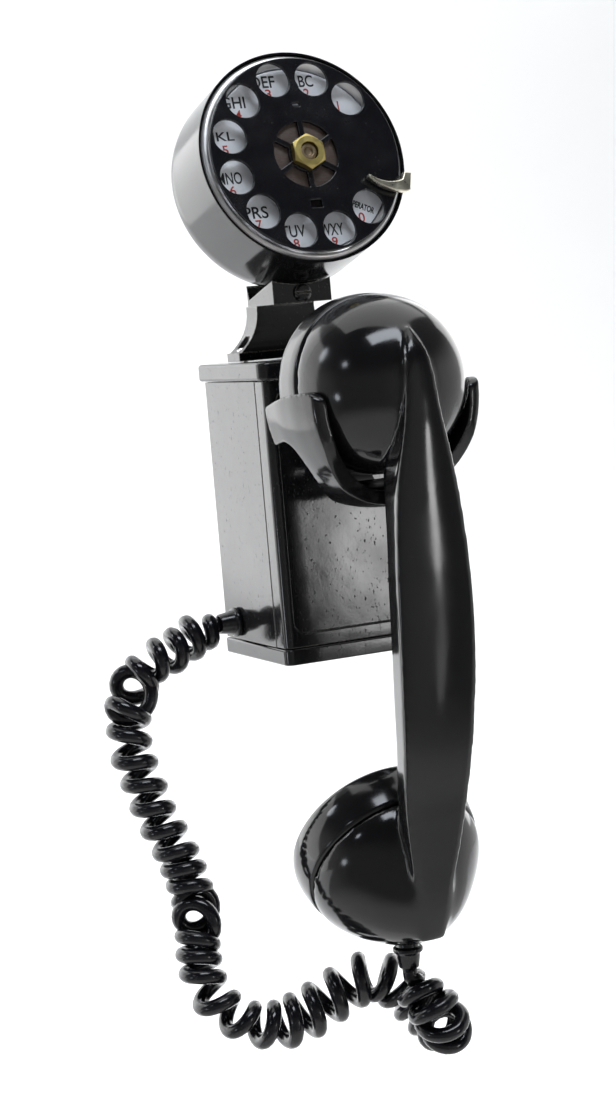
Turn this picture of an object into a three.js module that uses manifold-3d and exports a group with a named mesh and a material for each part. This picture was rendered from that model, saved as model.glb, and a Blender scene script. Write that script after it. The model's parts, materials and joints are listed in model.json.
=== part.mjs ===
// A narrow wall telephone: a box that hangs on a wall, a dial in a round cup on a neck above it,
// a spring-loaded cradle in front, and a handset with a coiled cord.
// Millimetres, +Z up, the front faces -Y and the wall is the plane y = 0.
// Inside the group "phone" z = 0 is the underside of the box; the exported origin is the centre of
// the box's back, on the wall.

import * as THREE from 'three';
import { mergeVertices } from 'three/addons/utils/BufferGeometryUtils.js';
import Module from 'manifold-3d';

const wasm = await Module();
wasm.setup();

// ---------- driving dimensions ----------

const gap = 0.3; // between pieces that touch

// box
const caseWidth = 55;
const caseDepth = 56;
const caseHeight = 105;
const wall = 2.2;
const bottomCapHeight = 6;
const frontCoverDepth = 9;
const topCapHeight = 6.5;
const topCapOverhang = 2.2;
const backPlateThickness = 2;
const screwHeadRadius = 4.2; // of the wall screws, with room
const screwShankRadius = 2.2;
const keyholeZ = 93;
const lowerHoleZ = 34;

// neck between the box and the dial cup
const neckHalfWidth = 12;
const footHalfWidth = 21.7;
const footHeight = 3.2;
const neckBack = -10;
const neckFront = -20;
const neckMiddle = (neckBack + neckFront) / 2;
const neckTop = 132;
const neckSweep = 6.5; // height over which its sides flare into the foot
const neckScrewX = 17;
const neckScrewY = -16;
const bracketFront = -36;
const bracketScrewZ = 136;
const cableHoleRadius = 3.6;

// dial head: its local z axis is the dial's axis, with z = 0 at the front of the finger wheel
const dialY = -49.8;
const dialZ = 186.1;
const dialTilt = 16; // degrees that the dial looks up
const wheelRadius = 37.5;
const wheelThickness = 1.6;
const holePitchRadius = 30;
const holeRadius = 6.55;
const holeCount = 10;
const holeStep = 30; // degrees
const firstHoleAngle = 44; // degrees, anticlockwise from the right
const spokeCount = 6;
const hubWindowRadius = 12.7;
const hubRadius = 6.8;
const slotPitchRadius = 19.2;
const shaftRadius = 3.2;
const cupRadius = 40.9;
const cupFront = -3;
const cupBack = -39;
const stopAngle = -16; // degrees

// gear train in the dial
const gearModule = 0.7;
const mainTeeth = 48;
const pinionTeeth = 12;
const governorAngle = 202.5; // degrees round the dial, in line with a tooth of the main gear
const mainGearZ = -13;

// cradle
const pivotY = -30;
const pivotZ = 78;
const tangHalfWidth = 6;
const tangThickness = 3;
const cradleCentreZ = 97.4;
const cradleDeepening = 1.12; // of the fork's round outline, downwards
const frontOpening = 28; // half width between the arms at the front
const openingDepth = 33.6; // of the space between them below the centre

// handset, hanging in the cradle
const receiverY = -92.5;
const receiverZ = 101.7;
const receiverTilt = 3.3; // degrees that the receiver's back looks up
const receiverRadius = 31.6;
const transmitterY = -75;
const transmitterZ = -75;
const transmitterTilt = -35.7;
const transmitterRadius = 33.1;
const capsuleRadius = 26;

// cord
const cordDiameter = 17.5; // over the coils
const strandRadius = 2.8;
const bushingRadius = 4;
const cordExitY = -12;
const cordExitZ = 13;
const handsetExitY = -80;
const handsetExitZ = -105.5;
const bushingLength = 7.7; // of the part outside the case or the handset

// Centre line of the coils from the case to the handset.
const cordRoute = [
  [-36.6, -12, 13], [-41, -12, 12.5], [-47, -12.8, 10], [-53, -13.8, 6.8], [-60, -15, 4.5],
  [-68, -16, 1], [-74.5, -17.5, -6], [-78, -19, -17], [-79, -21, -27], [-77, -23, -37],
  [-75, -25.5, -47], [-72, -28, -57], [-68, -31, -68],
  [-65.5, -34, -80], [-65, -37, -92], [-67, -40.5, -104], [-66.5, -44, -115], [-61, -47.5, -127],
  [-52, -50.5, -135], [-41, -53, -138], [-30, -55, -134], [-20, -57, -127], [-9, -58.5, -121],
  [1, -59.5, -123.5], [8.5, -63, -131], [12.5, -71, -138], [12, -81, -139], [7, -87, -131],
  [2.5, -84.5, -124], [0.3, -80.8, -118.8], [0, -80, -114.3],
];

const degrees = THREE.MathUtils.degToRad;

// ---------- solids ----------

// A closed geometry of any three.js class as a manifold solid with its faces outward.
function solid(geometry) {
  const bare = geometry.clone();
  bare.deleteAttribute('normal');
  bare.deleteAttribute('uv');
  const merged = mergeVertices(bare, 1e-4);
  const vertProperties = Float32Array.from(merged.attributes.position.array);
  const kept = [];
  const index = merged.index.array;
  for (let i = 0; i < index.length; i += 3) {
    const [a, b, c] = [index[i], index[i + 1], index[i + 2]];
    if (a !== b && b !== c && c !== a) kept.push(a, b, c);
  }
  if (signedVolume(vertProperties, kept) < 0) kept.reverse();
  return new wasm.Manifold(new wasm.Mesh({ numProp: 3, vertProperties, triVerts: Uint32Array.from(kept) }));
}

function signedVolume(positions, index) {
  const point = (i) => new THREE.Vector3().fromArray(positions, 3 * i);
  let six = 0;
  for (let i = 0; i < index.length; i += 3) {
    six += point(index[i]).dot(point(index[i + 1]).cross(point(index[i + 2])));
  }
  return six / 6;
}

function toGeometry(manifold) {
  const mesh = manifold.getMesh();
  const geometry = new THREE.BufferGeometry();
  geometry.setAttribute('position', new THREE.BufferAttribute(Float32Array.from(mesh.vertProperties), 3));
  geometry.setIndex(new THREE.BufferAttribute(Uint32Array.from(mesh.triVerts), 1));
  geometry.computeVertexNormals();
  return geometry;
}

function join(...solids) {
  return solids.reduce((a, b) => a.add(b));
}

function cut(body, ...tools) {
  return tools.reduce((a, b) => a.subtract(b), body);
}

// Box between two corners.
function block(x0, x1, y0, y1, z0, z1) {
  const geometry = new THREE.BoxGeometry(x1 - x0, y1 - y0, z1 - z0);
  geometry.translate((x0 + x1) / 2, (y0 + y1) / 2, (z0 + z1) / 2);
  return solid(geometry);
}

// Cylinder along z from z0 to z1, with its centre at x, y.
function rod(radius, z0, z1, x = 0, y = 0, segments = 20) {
  const geometry = new THREE.CylinderGeometry(radius, radius, z1 - z0, segments);
  geometry.rotateX(Math.PI / 2);
  geometry.translate(x, y, (z0 + z1) / 2);
  return solid(geometry);
}

// Solid of revolution about z; the profile is a list of [radius, z].
function turned(profile, segments = 36) {
  const geometry = new THREE.LatheGeometry(profile.map(([r, z]) => new THREE.Vector2(r, z)), segments);
  geometry.rotateX(Math.PI / 2);
  return solid(geometry);
}

// Closed ring profiles repeat their first point.
function turnedRing(profile, segments = 36) {
  return turned([...profile, profile[0]], segments);
}

// Shape in x, y carried along z from z0 to z1.
function plate(shape, z0, z1, curveSegments = 8) {
  const geometry = new THREE.ExtrudeGeometry(shape, { depth: z1 - z0, bevelEnabled: false, curveSegments });
  geometry.translate(0, 0, z0);
  return solid(geometry);
}

// Shape drawn in x, z, carried along y from y0 to y1.
function frontProfile(shape, y0, y1, curveSegments = 8) {
  const geometry = new THREE.ExtrudeGeometry(shape, { depth: y1 - y0, bevelEnabled: false, curveSegments });
  geometry.rotateX(Math.PI / 2);
  geometry.translate(0, y1, 0);
  return solid(geometry);
}

// Shape drawn in y, z, carried along x from x0 to x1.
function sideProfile(shape, x0, x1, curveSegments = 8) {
  const geometry = new THREE.ExtrudeGeometry(shape, { depth: x1 - x0, bevelEnabled: false, curveSegments });
  geometry.applyMatrix4(new THREE.Matrix4().makeBasis(
    new THREE.Vector3(0, 1, 0), new THREE.Vector3(0, 0, 1), new THREE.Vector3(1, 0, 0)));
  geometry.translate(x0, 0, 0);
  return solid(geometry);
}

function polygon(points) {
  return new THREE.Shape(points.map(([a, b]) => new THREE.Vector2(a, b)));
}

// Rectangle whose two corners on the low y side, the front, are rounded.
function frontRounded(halfWidth, front, back, radius) {
  const shape = new THREE.Shape();
  shape.moveTo(-halfWidth, back);
  shape.lineTo(-halfWidth, front + radius);
  shape.absarc(-halfWidth + radius, front + radius, radius, Math.PI, 1.5 * Math.PI);
  shape.absarc(halfWidth - radius, front + radius, radius, 1.5 * Math.PI, 2 * Math.PI);
  shape.lineTo(halfWidth, back);
  return shape;
}

function roundedRect(x0, x1, y0, y1, radius) {
  const shape = new THREE.Shape();
  shape.moveTo(x0, y1 - radius);
  shape.absarc(x0 + radius, y0 + radius, radius, Math.PI, 1.5 * Math.PI);
  shape.absarc(x1 - radius, y0 + radius, radius, 1.5 * Math.PI, 2 * Math.PI);
  shape.absarc(x1 - radius, y1 - radius, radius, 0, 0.5 * Math.PI);
  shape.absarc(x0 + radius, y1 - radius, radius, 0.5 * Math.PI, Math.PI);
  return shape;
}

// Round section swept along a smooth curve through the points.
function sweptTube(points, radius, sides, steps) {
  const curve = new THREE.CatmullRomCurve3(points.map((p) => new THREE.Vector3(...p)), false, 'centripetal');
  const section = polygon(Array.from({ length: sides }, (_, i) => {
    const a = (2 * Math.PI * i) / sides;
    return [radius * Math.cos(a), radius * Math.sin(a)];
  }));
  return solid(new THREE.ExtrudeGeometry(section, { steps, extrudePath: curve, bevelEnabled: false }));
}

// Moves a solid whose axis is z so that z points out of the front of a tilted, forward-facing disc.
function facing(manifold, y, z, tilt) {
  return manifold.rotate([90 - tilt, 0, 0]).translate([0, y, z]);
}

// Slotted screw with its head at z = 0 and up, shank below.
function screw(headRadius, headHeight, shankRadius, shankLength) {
  const head = turned([[0, 0], [headRadius, 0], [headRadius, headHeight * 0.5],
    [headRadius * 0.7, headHeight], [0, headHeight]], 16);
  const halfSlot = headRadius * 0.14;
  const slot = block(-headRadius, headRadius, -halfSlot, halfSlot, headHeight * 0.55, headHeight + 1);
  return cut(join(head, rod(shankRadius, -shankLength, 0.1, 0, 0, 8)), slot);
}

// ---------- materials ----------

function finish(color, roughness, metalness) {
  return () => new THREE.MeshStandardMaterial({ color, roughness, metalness });
}

const bakelite = finish(0x0b0b0d, 0.22, 0);
const blackPaint = finish(0x0d0d0e, 0.28, 0.1);
const steel = finish(0x8c8f92, 0.4, 1);
const nickel = finish(0xc9cacc, 0.22, 1);
const brass = finish(0xb58f3f, 0.35, 1);
const bronze = finish(0x9a6a3c, 0.4, 1);
const enamel = finish(0xeeeef0, 0.2, 0);
const fibre = finish(0x4b3f3a, 0.6, 0);
const rubber = finish(0x141414, 0.5, 0);

const phone = new THREE.Group();
phone.position.z = -caseHeight / 2;

function addPart(parent, name, manifold, material) {
  const mesh = new THREE.Mesh(toGeometry(manifold), material());
  mesh.name = name;
  parent.add(mesh);
  return mesh;
}

// ---------- box ----------

const sideX = caseWidth / 2;
const shellFront = -(caseDepth - frontCoverDepth) + gap;
const shellBottom = bottomCapHeight + gap;

function backPlate() {
  const inset = wall + gap;
  const body = block(-sideX + inset, sideX - inset, -backPlateThickness, 0,
    shellBottom + inset, caseHeight - inset);
  const keyhole = join(
    rod(screwHeadRadius, -1, backPlateThickness + 1, 0, 0, 20),
    block(-screwShankRadius, screwShankRadius, 0, 7, -1, backPlateThickness + 1),
  ).rotate([90, 0, 0]).translate([0, 0.5, keyholeZ]);
  const lowerHole = rod(screwShankRadius, -1, backPlateThickness + 1, 0, 0, 16).rotate([90, 0, 0])
    .translate([0, 0.5, lowerHoleZ]);
  return cut(body, keyhole, lowerHole);
}

function caseShell() {
  const outer = block(-sideX, sideX, shellFront, 0, shellBottom, caseHeight);
  const inner = block(-sideX + wall, sideX - wall, shellFront - 1, 1, shellBottom + wall, caseHeight - wall);
  const cordHole = rod(bushingRadius + gap, -wall - 1, 1, 0, 0, 20).rotate([0, -90, 0])
    .translate([-sideX, cordExitY, cordExitZ]);
  const cableHole = rod(cableHoleRadius, caseHeight - wall - 1, caseHeight + 1, 0, neckMiddle, 16);
  return cut(outer, inner, cordHole, cableHole);
}

function bottomCap() {
  const outline = frontRounded(sideX + 0.4, -caseDepth - 0.4, 0, 3.2);
  return cut(plate(outline, 0, bottomCapHeight), rod(2, -1, bottomCapHeight + 1, 0, -24, 16));
}

// Shallow tray with a raised rim round a sunk panel, and the cradle's slot.
function frontCover() {
  const low = shellBottom;
  const high = caseHeight;
  const outline = frontRounded(sideX, -caseDepth, -(caseDepth - frontCoverDepth), 3);
  const inside = block(-sideX + wall, sideX - wall, -caseDepth + 4, 0, low + wall, high - wall);
  const rimWidth = 4;
  const panel = roundedRect(-sideX + rimWidth, sideX - rimWidth, low + 5, high - rimWidth, 5);
  const sunk = frontProfile(panel, -caseDepth - 1, -caseDepth + 1.8);
  const slot = block(-tangHalfWidth - 1.2, tangHalfWidth + 1.2, -caseDepth - 1, -caseDepth + 6,
    pivotZ - 3, pivotZ + 6.5);
  return cut(plate(outline, low, high), inside, sunk, slot);
}

function topCap() {
  const low = caseHeight + gap;
  const outline = frontRounded(sideX + topCapOverhang, -caseDepth - topCapOverhang, 0, 4);
  return cut(plate(outline, low, low + topCapHeight),
    rod(cableHoleRadius, low - 1, low + topCapHeight + 1, 0, neckMiddle, 16),
    rod(1.6, low - 1, low + topCapHeight + 1, -neckScrewX, neckScrewY, 12),
    rod(1.6, low - 1, low + topCapHeight + 1, neckScrewX, neckScrewY, 12));
}

addPart(phone, 'back_plate', backPlate(), steel);
addPart(phone, 'case_shell', caseShell(), blackPaint);
addPart(phone, 'bottom_cap', bottomCap(), blackPaint);
addPart(phone, 'front_cover', frontCover(), blackPaint);
addPart(phone, 'top_cap', topCap(), blackPaint);

const caseScrew = screw(3.6, 1.6, 1.7, 5).rotate([180, 0, 0]).translate([0, -24, -gap]);
addPart(phone, 'case_screw', caseScrew, nickel);

// ---------- neck ----------

const neckBottom = caseHeight + topCapHeight + 2 * gap;

// Cast neck: a flat foot that sweeps in to an upright, cut to its depth from the side.
function neckPedestal() {
  const footTop = neckBottom + footHeight;
  const front = new THREE.Shape();
  front.moveTo(-footHalfWidth, neckBottom);
  front.lineTo(-footHalfWidth, footTop);
  front.lineTo(-footHalfWidth + 1.2, footTop);
  front.quadraticCurveTo(-neckHalfWidth, footTop + neckSweep, -neckHalfWidth, neckTop - 1);
  front.lineTo(-neckHalfWidth, neckTop);
  front.lineTo(neckHalfWidth, neckTop);
  front.lineTo(neckHalfWidth, neckTop - 1);
  front.quadraticCurveTo(neckHalfWidth, footTop + neckSweep, footHalfWidth - 1.2, footTop);
  front.lineTo(footHalfWidth, footTop);
  front.lineTo(footHalfWidth, neckBottom);
  const side = new THREE.Shape();
  side.moveTo(neckBack - 0.5, neckBottom);
  side.lineTo(neckBack - 0.5, footTop);
  side.lineTo(neckBack, neckTop);
  side.lineTo(neckFront, neckTop);
  side.quadraticCurveTo(neckFront, footTop + 4, neckFront - 1.5, footTop);
  side.lineTo(neckFront - 2, footTop);
  side.lineTo(neckFront - 2, neckBottom);
  const body = frontProfile(front, neckFront - 2, neckBack, 8)
    .intersect(sideProfile(side, -footHalfWidth, footHalfWidth, 6));
  const screwSeat = (x) => join(rod(1.6, neckBottom - 1, footTop + 1, x, neckScrewY, 12),
    rod(3.1, footTop, footTop + 6, x, neckScrewY, 16));
  const cableHole = rod(cableHoleRadius, neckBottom - 1, neckTop + 1, 0, neckMiddle, 16);
  return cut(body, cableHole, screwSeat(-neckScrewX), screwSeat(neckScrewX));
}

// Block that carries the cup, hollowed to fit under it.
function cupBracket() {
  const low = neckTop + gap;
  const body = block(-neckHalfWidth, neckHalfWidth, bracketFront, neckBack - 2, low, 150);
  const cupSpace = facing(rod(cupRadius + gap, cupBack - 10, cupFront + 6, 0, 0, 64), dialY, dialZ, dialTilt);
  const cableHole = rod(cableHoleRadius, low - 1, 160, 0, neckMiddle - 1.5, 16);
  const screwHole = rod(1.9, -12, 1, 0, 0, 12).rotate([90, 0, 0])
    .translate([0, bracketFront, bracketScrewZ]);
  return cut(body, cupSpace, cableHole, screwHole);
}

addPart(phone, 'neck_pedestal', neckPedestal(), blackPaint);
for (const [name, x] of [['neck_screw_left', -neckScrewX], ['neck_screw_right', neckScrewX]]) {
  const made = screw(2.8, 1.4, 1.3, 7).translate([x, neckScrewY, neckBottom + footHeight + gap]);
  addPart(phone, name, made, nickel);
}
addPart(phone, 'cup_bracket', cupBracket(), blackPaint);
addPart(phone, 'bracket_screw', screw(3.4, 1.5, 1.6, 9).rotate([90, 0, 0])
  .translate([0, bracketFront - gap, bracketScrewZ]), blackPaint);

// ---------- dial head ----------

const head = new THREE.Group();
head.position.set(0, dialY, dialZ);
head.rotation.x = degrees(90 - dialTilt);
phone.add(head);

function polar(radius, angle) {
  return [radius * Math.cos(degrees(angle)), radius * Math.sin(degrees(angle))];
}

// Deep round cup with a rounded back edge and a ledge that the mechanism's plate sits on.
function dialCup() {
  const back = cupBack;
  const inner = cupRadius - 2;
  const lip = cupRadius - 0.7;
  const body = turned([
    [0, back], [cupRadius - 5, back], [cupRadius - 2, back + 0.8], [cupRadius - 0.6, back + 2.6],
    [cupRadius, cupFront], [lip, cupFront], [lip, -5.2], [inner, -5.2], [inner, -9.3], [31.5, -9.3], [31.5, -11], [inner, -12.5],
    [inner, back + 4], [inner - 2, back + 2], [0, back + 2],
  ], 48);
  const cableHole = rod(cableHoleRadius, back - 1, back + 3, 0, -27, 16);
  return cut(body, cableHole, ...dialScrewPlaces().map(([x, y]) => rod(1.4, -12.5, -8, x, y, 10)));
}

function dialScrewPlaces() {
  return [90, 210, 330].map((a) => polar(33.2, a));
}

function dialFrame() {
  const body = rod(38.2, -9, -7.6, 0, 0, 40);
  const [gx, gy] = governorPlace();
  return cut(body, rod(shaftRadius + gap, -12, 0), rod(1.6, -12, 0, gx, gy, 12),
    ...dialScrewPlaces().map(([x, y]) => rod(1.4, -12, 0, x, y, 10)));
}

function governorPlace() {
  return polar((gearModule * (mainTeeth + pinionTeeth)) / 2 + 0.15, governorAngle);
}

function numberPlate() {
  return turnedRing([[21, -6.6], [35, -6.6], [35, -5.4], [34.4, -5.2], [21, -5.2]], 40);
}

function bezelRing() {
  return turnedRing([[35.4, -7.2], [38.5, -7.2], [38.5, -4.9], [39.9, -4.9], [39.9, -3.3], [39.4, -2.8],
    [37.4, -2.8], [35.4, -5]], 48);
}

// Disc with ten finger holes, six windows round the hub, and two small slots.
function fingerWheel() {
  const ring = (radius, count, x = 0, y = 0) => Array.from({ length: count }, (_, i) => {
    const [dx, dy] = polar(radius, (360 * i) / count);
    return [x + dx, y + dy];
  });
  const shape = polygon(ring(wheelRadius, 60));
  for (let i = 0; i < holeCount; i += 1) {
    const [x, y] = polar(holePitchRadius, firstHoleAngle + holeStep * i);
    shape.holes.push(polygon(ring(holeRadius, 20, x, y)));
  }
  shape.holes.push(polygon(ring(shaftRadius + gap, 16)));
  for (let i = 0; i < spokeCount; i += 1) shape.holes.push(hubWindow((360 * (i + 0.5)) / spokeCount));
  const body = plate(shape, -wheelThickness, 0);
  const slot = (halfLength, halfWidth, angle) => block(-halfLength, halfLength,
    slotPitchRadius - halfWidth, slotPitchRadius + halfWidth, -wheelThickness - 1, 1).rotate([0, 0, angle]);
  return cut(body, slot(1.5, 0.75, 0), slot(2.3, 1.5, 180));
}

// Window between two spokes, from the hub out to the wheel's solid ring.
function hubWindow(start) {
  const halfSpoke = 1;
  const inset = (radius) => THREE.MathUtils.radToDeg(Math.asin(halfSpoke / radius));
  const arc = (radius, count) => Array.from({ length: count + 1 }, (_, i) => {
    const from = start + inset(radius);
    const sweep = 360 / spokeCount - 2 * inset(radius);
    return polar(radius, from + (sweep * i) / count);
  });
  return polygon([...arc(hubWindowRadius, 6), ...arc(hubRadius, 3).reverse()]);
}

function hubDisc() {
  const bore = shaftRadius + gap;
  return turnedRing([[bore, -2.7], [14, -2.7], [14, -1.9], [bore, -1.9]], 30);
}

function hubNut() {
  const acrossCorners = 12 / Math.cos(Math.PI / 6) / 2;
  const hexagon = polygon(Array.from({ length: 6 }, (_, i) => polar(acrossCorners, 60 * i + 28)));
  const chamfer = turned([[0, gap], [7.2, gap], [7.2, 2.4], [5.6, 3.4], [0, 3.4]], 24);
  return cut(plate(hexagon, gap, 3.4).intersect(chamfer), rod(shaftRadius + gap, -1, 5));
}

function dialShaft() {
  const r = shaftRadius;
  return turned([[0, -26], [2, -26], [2, -20.8], [r, -20.8], [r, 2.4], [r / 2, 2.4], [1.2, 1.6],
    [0, 1.6]], 20);
}

// Curved arm over the wheel's face, on a leg that stands on the bezel outside the wheel.
function fingerStop() {
  const path = new THREE.Shape();
  path.moveTo(24, -3.7);
  path.quadraticCurveTo(31.5, -6.6, 37.4, -2.6);
  path.lineTo(37.9, 0.3);
  path.lineTo(40.9, 0.6);
  path.lineTo(41, -6.2);
  path.lineTo(39.8, -7);
  path.quadraticCurveTo(31.5, -9.2, 23.8, -4.8);
  const arm = plate(path, 0.7, 3.4, 8);
  const leg = block(38.1, 40.6, -5.6, 0.2, -2.5, 3.4);
  return join(arm, leg).rotate([0, 0, stopAngle]);
}

// Spur gear with straight-sided teeth, relieved so that a pair runs clear.
function gearShape(teeth, offset) {
  const pitch = (gearModule * teeth) / 2;
  const tip = pitch + 0.8 * gearModule;
  const root = pitch - 1.15 * gearModule;
  const points = [];
  for (let i = 0; i < teeth; i += 1) {
    const centre = offset + (360 * i) / teeth;
    const step = 360 / teeth;
    for (const [radius, side] of [[root, -0.33], [tip, -0.11], [tip, 0.11], [root, 0.33]]) {
      points.push(polar(radius, centre + side * step));
    }
  }
  return polygon(points);
}

function mainGear() {
  const toothed = plate(gearShape(mainTeeth, 0), mainGearZ, mainGearZ + 1.5);
  return cut(toothed, rod(shaftRadius + gap, -20, 0, 0, 0, 16));
}

// Turns the pulse contacts: one lobe for each pulse.
function pulseWheel() {
  const shape = polygon(Array.from({ length: 60 }, (_, i) => polar(i % 6 < 3 ? 9 : 10.4, 6 * i)));
  return cut(plate(shape, -23, -21.5), rod(2.3, -30, 0));
}

// Spiral strip.
function mainSpring() {
  const turns = 4;
  const steps = 68;
  const strip = 0.5;
  const radiusAt = (i) => 5.2 + (9.6 * i) / steps;
  const side = (shift) => Array.from({ length: steps + 1 }, (_, i) => {
    return polar(radiusAt(i) + shift, (360 * turns * i) / steps);
  });
  return plate(polygon([...side(-strip / 2), ...side(strip / 2).reverse()]), -19.5, -15);
}

function governor() {
  const [x, y] = governorPlace();
  const pinionOffset = governorAngle + 180 + (180 / pinionTeeth);
  const pinion = plate(gearShape(pinionTeeth, pinionOffset), mainGearZ - 0.4, mainGearZ + 1.9);
  return join(pinion.translate([x, y, 0]), rod(1.3, -27.5, -7.9, x, y, 12));
}

function governorWeight(side) {
  const [x, y] = governorPlace();
  const arc = new THREE.Shape();
  arc.absarc(0, 0, 6.4, degrees(side + 35), degrees(side + 145));
  arc.absarc(0, 0, 3, degrees(side + 145), degrees(side + 35), true);
  return join(plate(arc, -25.5, -21.5, 10), block(-1, 1, 1.4, 4, -24.5, -22.5).rotate([0, 0, side]))
    .translate([x, y, 0]);
}

function governorCup() {
  const [x, y] = governorPlace();
  const cup = turnedRing([[2, -29.5], [9, -29.5], [9, -21], [7.8, -21], [7.8, -28.2], [2, -28.2]], 32);
  return cup.translate([x, y, 0]);
}

function pulseContact(index) {
  const offset = 12.2 + 1.9 * index;
  return block(offset, offset + 0.6, -22, 4, -24, -20.5).rotate([0, 0, -40]);
}

function pulseInsulator() {
  const body = block(10.8, 17, -25.5, -18, -26, -9.3);
  const slots = [0, 1].map((i) => block(11.9 + 1.9 * i, 13.1 + 1.9 * i, -22.3, 0, -30, -20.2));
  return cut(body, ...slots).rotate([0, 0, -40]);
}

addPart(head, 'dial_cup', dialCup(), bakelite);
addPart(head, 'dial_frame', dialFrame(), steel);
addPart(head, 'number_plate', numberPlate(), enamel);
addPart(head, 'bezel_ring', bezelRing(), nickel);
addPart(head, 'finger_stop', fingerStop(), nickel);
addPart(head, 'finger_wheel', fingerWheel(), blackPaint);
addPart(head, 'hub_disc', hubDisc(), fibre);
addPart(head, 'hub_nut', hubNut(), brass);
addPart(head, 'dial_shaft', dialShaft(), steel);
addPart(head, 'main_gear', mainGear(), brass);
addPart(head, 'pulse_wheel', pulseWheel(), fibre);
addPart(head, 'main_spring', mainSpring(), steel);
addPart(head, 'governor_shaft', governor(), steel);
addPart(head, 'governor_weight_a', governorWeight(0), brass);
addPart(head, 'governor_weight_b', governorWeight(180), brass);
addPart(head, 'governor_cup', governorCup(), brass);
addPart(head, 'pulse_contact_inner', pulseContact(0), bronze);
addPart(head, 'pulse_contact_outer', pulseContact(1), bronze);
addPart(head, 'pulse_insulator', pulseInsulator(), fibre);
dialScrewPlaces().forEach(([x, y], i) => {
  addPart(head, `dial_screw_${i + 1}`, screw(1.9, 0.4, 1.1, 4.4).translate([x, y, -7.6 + gap]), nickel);
});

// ---------- cradle ----------

// Forked lever: a bowl-shaped band with two tall arms, on a tang that runs through the front cover.
function cradleFork() {
  const bowl = turned([
    [0, 71], [35.6, 71], [35.9, 85], [35.2, 95], [33.8, 103], [32.8, 107], [31.8, 108.2], [30.2, 108.6],
    [0, 108.6],
  ], 44).rotate([90, 0, 0]).scale([1, 1, cradleDeepening]).translate([0, 0, cradleCentreZ]);
  const opening = turned([[0, 86], [frontOpening, 88], [frontOpening, 120], [0, 120]], 44)
    .rotate([90, 0, 0]).scale([1, 1, openingDepth / frontOpening]).translate([0, 0, cradleCentreZ]);
  const seat = receiverRadius + 1.1;
  const pocket = behindReceiver(turned([
    [0, -30], [seat, -30], [seat, -2], [seat - 0.4, 2], [seat - 1.1, 6], [seat - 2.2, 10], [seat - 3.4, 13.4],
    [seat - 5.2, 17], [0, 17.5],
  ], 44));
  const outline = new THREE.Shape();
  outline.moveTo(-98.8, 55);
  outline.lineTo(-78, 55);
  outline.lineTo(-77.5, 61);
  outline.quadraticCurveTo(-88.5, 65.5, -90.5, 74);
  outline.quadraticCurveTo(-90.5, 83.5, -82, 84);
  outline.lineTo(-73.5, 82.5);
  outline.lineTo(-72, 96);
  outline.quadraticCurveTo(-90, 101.5, -104, 101);
  outline.quadraticCurveTo(-109, 100.5, -110, 93);
  outline.quadraticCurveTo(-108, 78, -99.6, 66);
  const band = cut(bowl.intersect(sideProfile(outline, -50, 50, 8)), pocket, opening);
  const t = tangThickness;
  const tang = new THREE.Shape();
  tang.moveTo(-84, 60.4);
  tang.lineTo(-77, 60.6);
  tang.quadraticCurveTo(-70, 62, -67, 70);
  tang.quadraticCurveTo(-65, pivotZ - t / 2, -58, pivotZ - t / 2);
  tang.lineTo(pivotY, pivotZ - t / 2);
  tang.lineTo(pivotY, pivotZ + t / 2);
  tang.lineTo(-58, pivotZ + t / 2);
  tang.quadraticCurveTo(-67, pivotZ + t / 2, -69.6, 71);
  tang.quadraticCurveTo(-72, 64.4, -77, 63.6);
  tang.lineTo(-84, 63.6);
  const boss = rod(4.2, -tangHalfWidth, tangHalfWidth, 0, 0, 20).rotate([0, 90, 0])
    .translate([0, pivotY, pivotZ]);
  const tail = block(-3, 3, pivotY - 1.5, pivotY + 1.5, pivotZ - 16, pivotZ);
  const bore = rod(1.8, -10, 10, 0, 0, 14).rotate([0, 90, 0]).translate([0, pivotY, pivotZ]);
  return cut(join(band, sideProfile(tang, -tangHalfWidth, tangHalfWidth, 8), boss, tail), bore);
}

// Bent steel bracket on the back plate that holds the cradle's pin.
function cradleBracket() {
  const web = block(-14, 14, -4.3, -backPlateThickness - gap, 62, 88);
  const cheek = new THREE.Shape();
  cheek.moveTo(-3, 64);
  cheek.lineTo(-3, 88);
  cheek.lineTo(pivotY, pivotZ + 6);
  cheek.absarc(pivotY, pivotZ, 6, 0.5 * Math.PI, 1.5 * Math.PI);
  const bore = rod(1.8, -20, 20, 0, 0, 14).rotate([0, 90, 0]).translate([0, pivotY, pivotZ]);
  return cut(join(web, sideProfile(cheek, -14, -12.4, 8), sideProfile(cheek, 12.4, 14, 8)), bore);
}

function cradlePin() {
  return rod(1.5, -16, 16, 0, 0, 14).rotate([0, 90, 0]).translate([0, pivotY, pivotZ]);
}

// Coil spring round the pin, beside the lever's boss.
function cradleSpring() {
  const points = Array.from({ length: 41 }, (_, i) => {
    const a = (2 * Math.PI * i) / 10;
    return [7.2 + 0.105 * i, pivotY + 3 * Math.cos(a), pivotZ + 3 * Math.sin(a)];
  });
  return sweptTube(points, 0.45, 5, 44);
}

const contactYs = [-23.6, -21, -18.4];

function hookContact(y) {
  return block(-4, 4, y - 0.3, y + 0.3, 40, 67);
}

function hookInsulator() {
  const body = block(-7, 7, -27, -4.3 - gap, 38, 47);
  return cut(body, ...contactYs.map((y) => block(-4.3, 4.3, y - 0.6, y + 0.6, 39.7, 60)));
}

const terminalXs = [-12, -4, 4, 12];

function terminalBlock() {
  const body = block(-17, 17, -14, -backPlateThickness - gap, 12, 28);
  const bore = rod(1.5, -1, 9, 0, 0, 12).rotate([90, 0, 0]);
  return cut(body, ...terminalXs.map((x) => bore.translate([x, -7, 20])));
}

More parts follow.
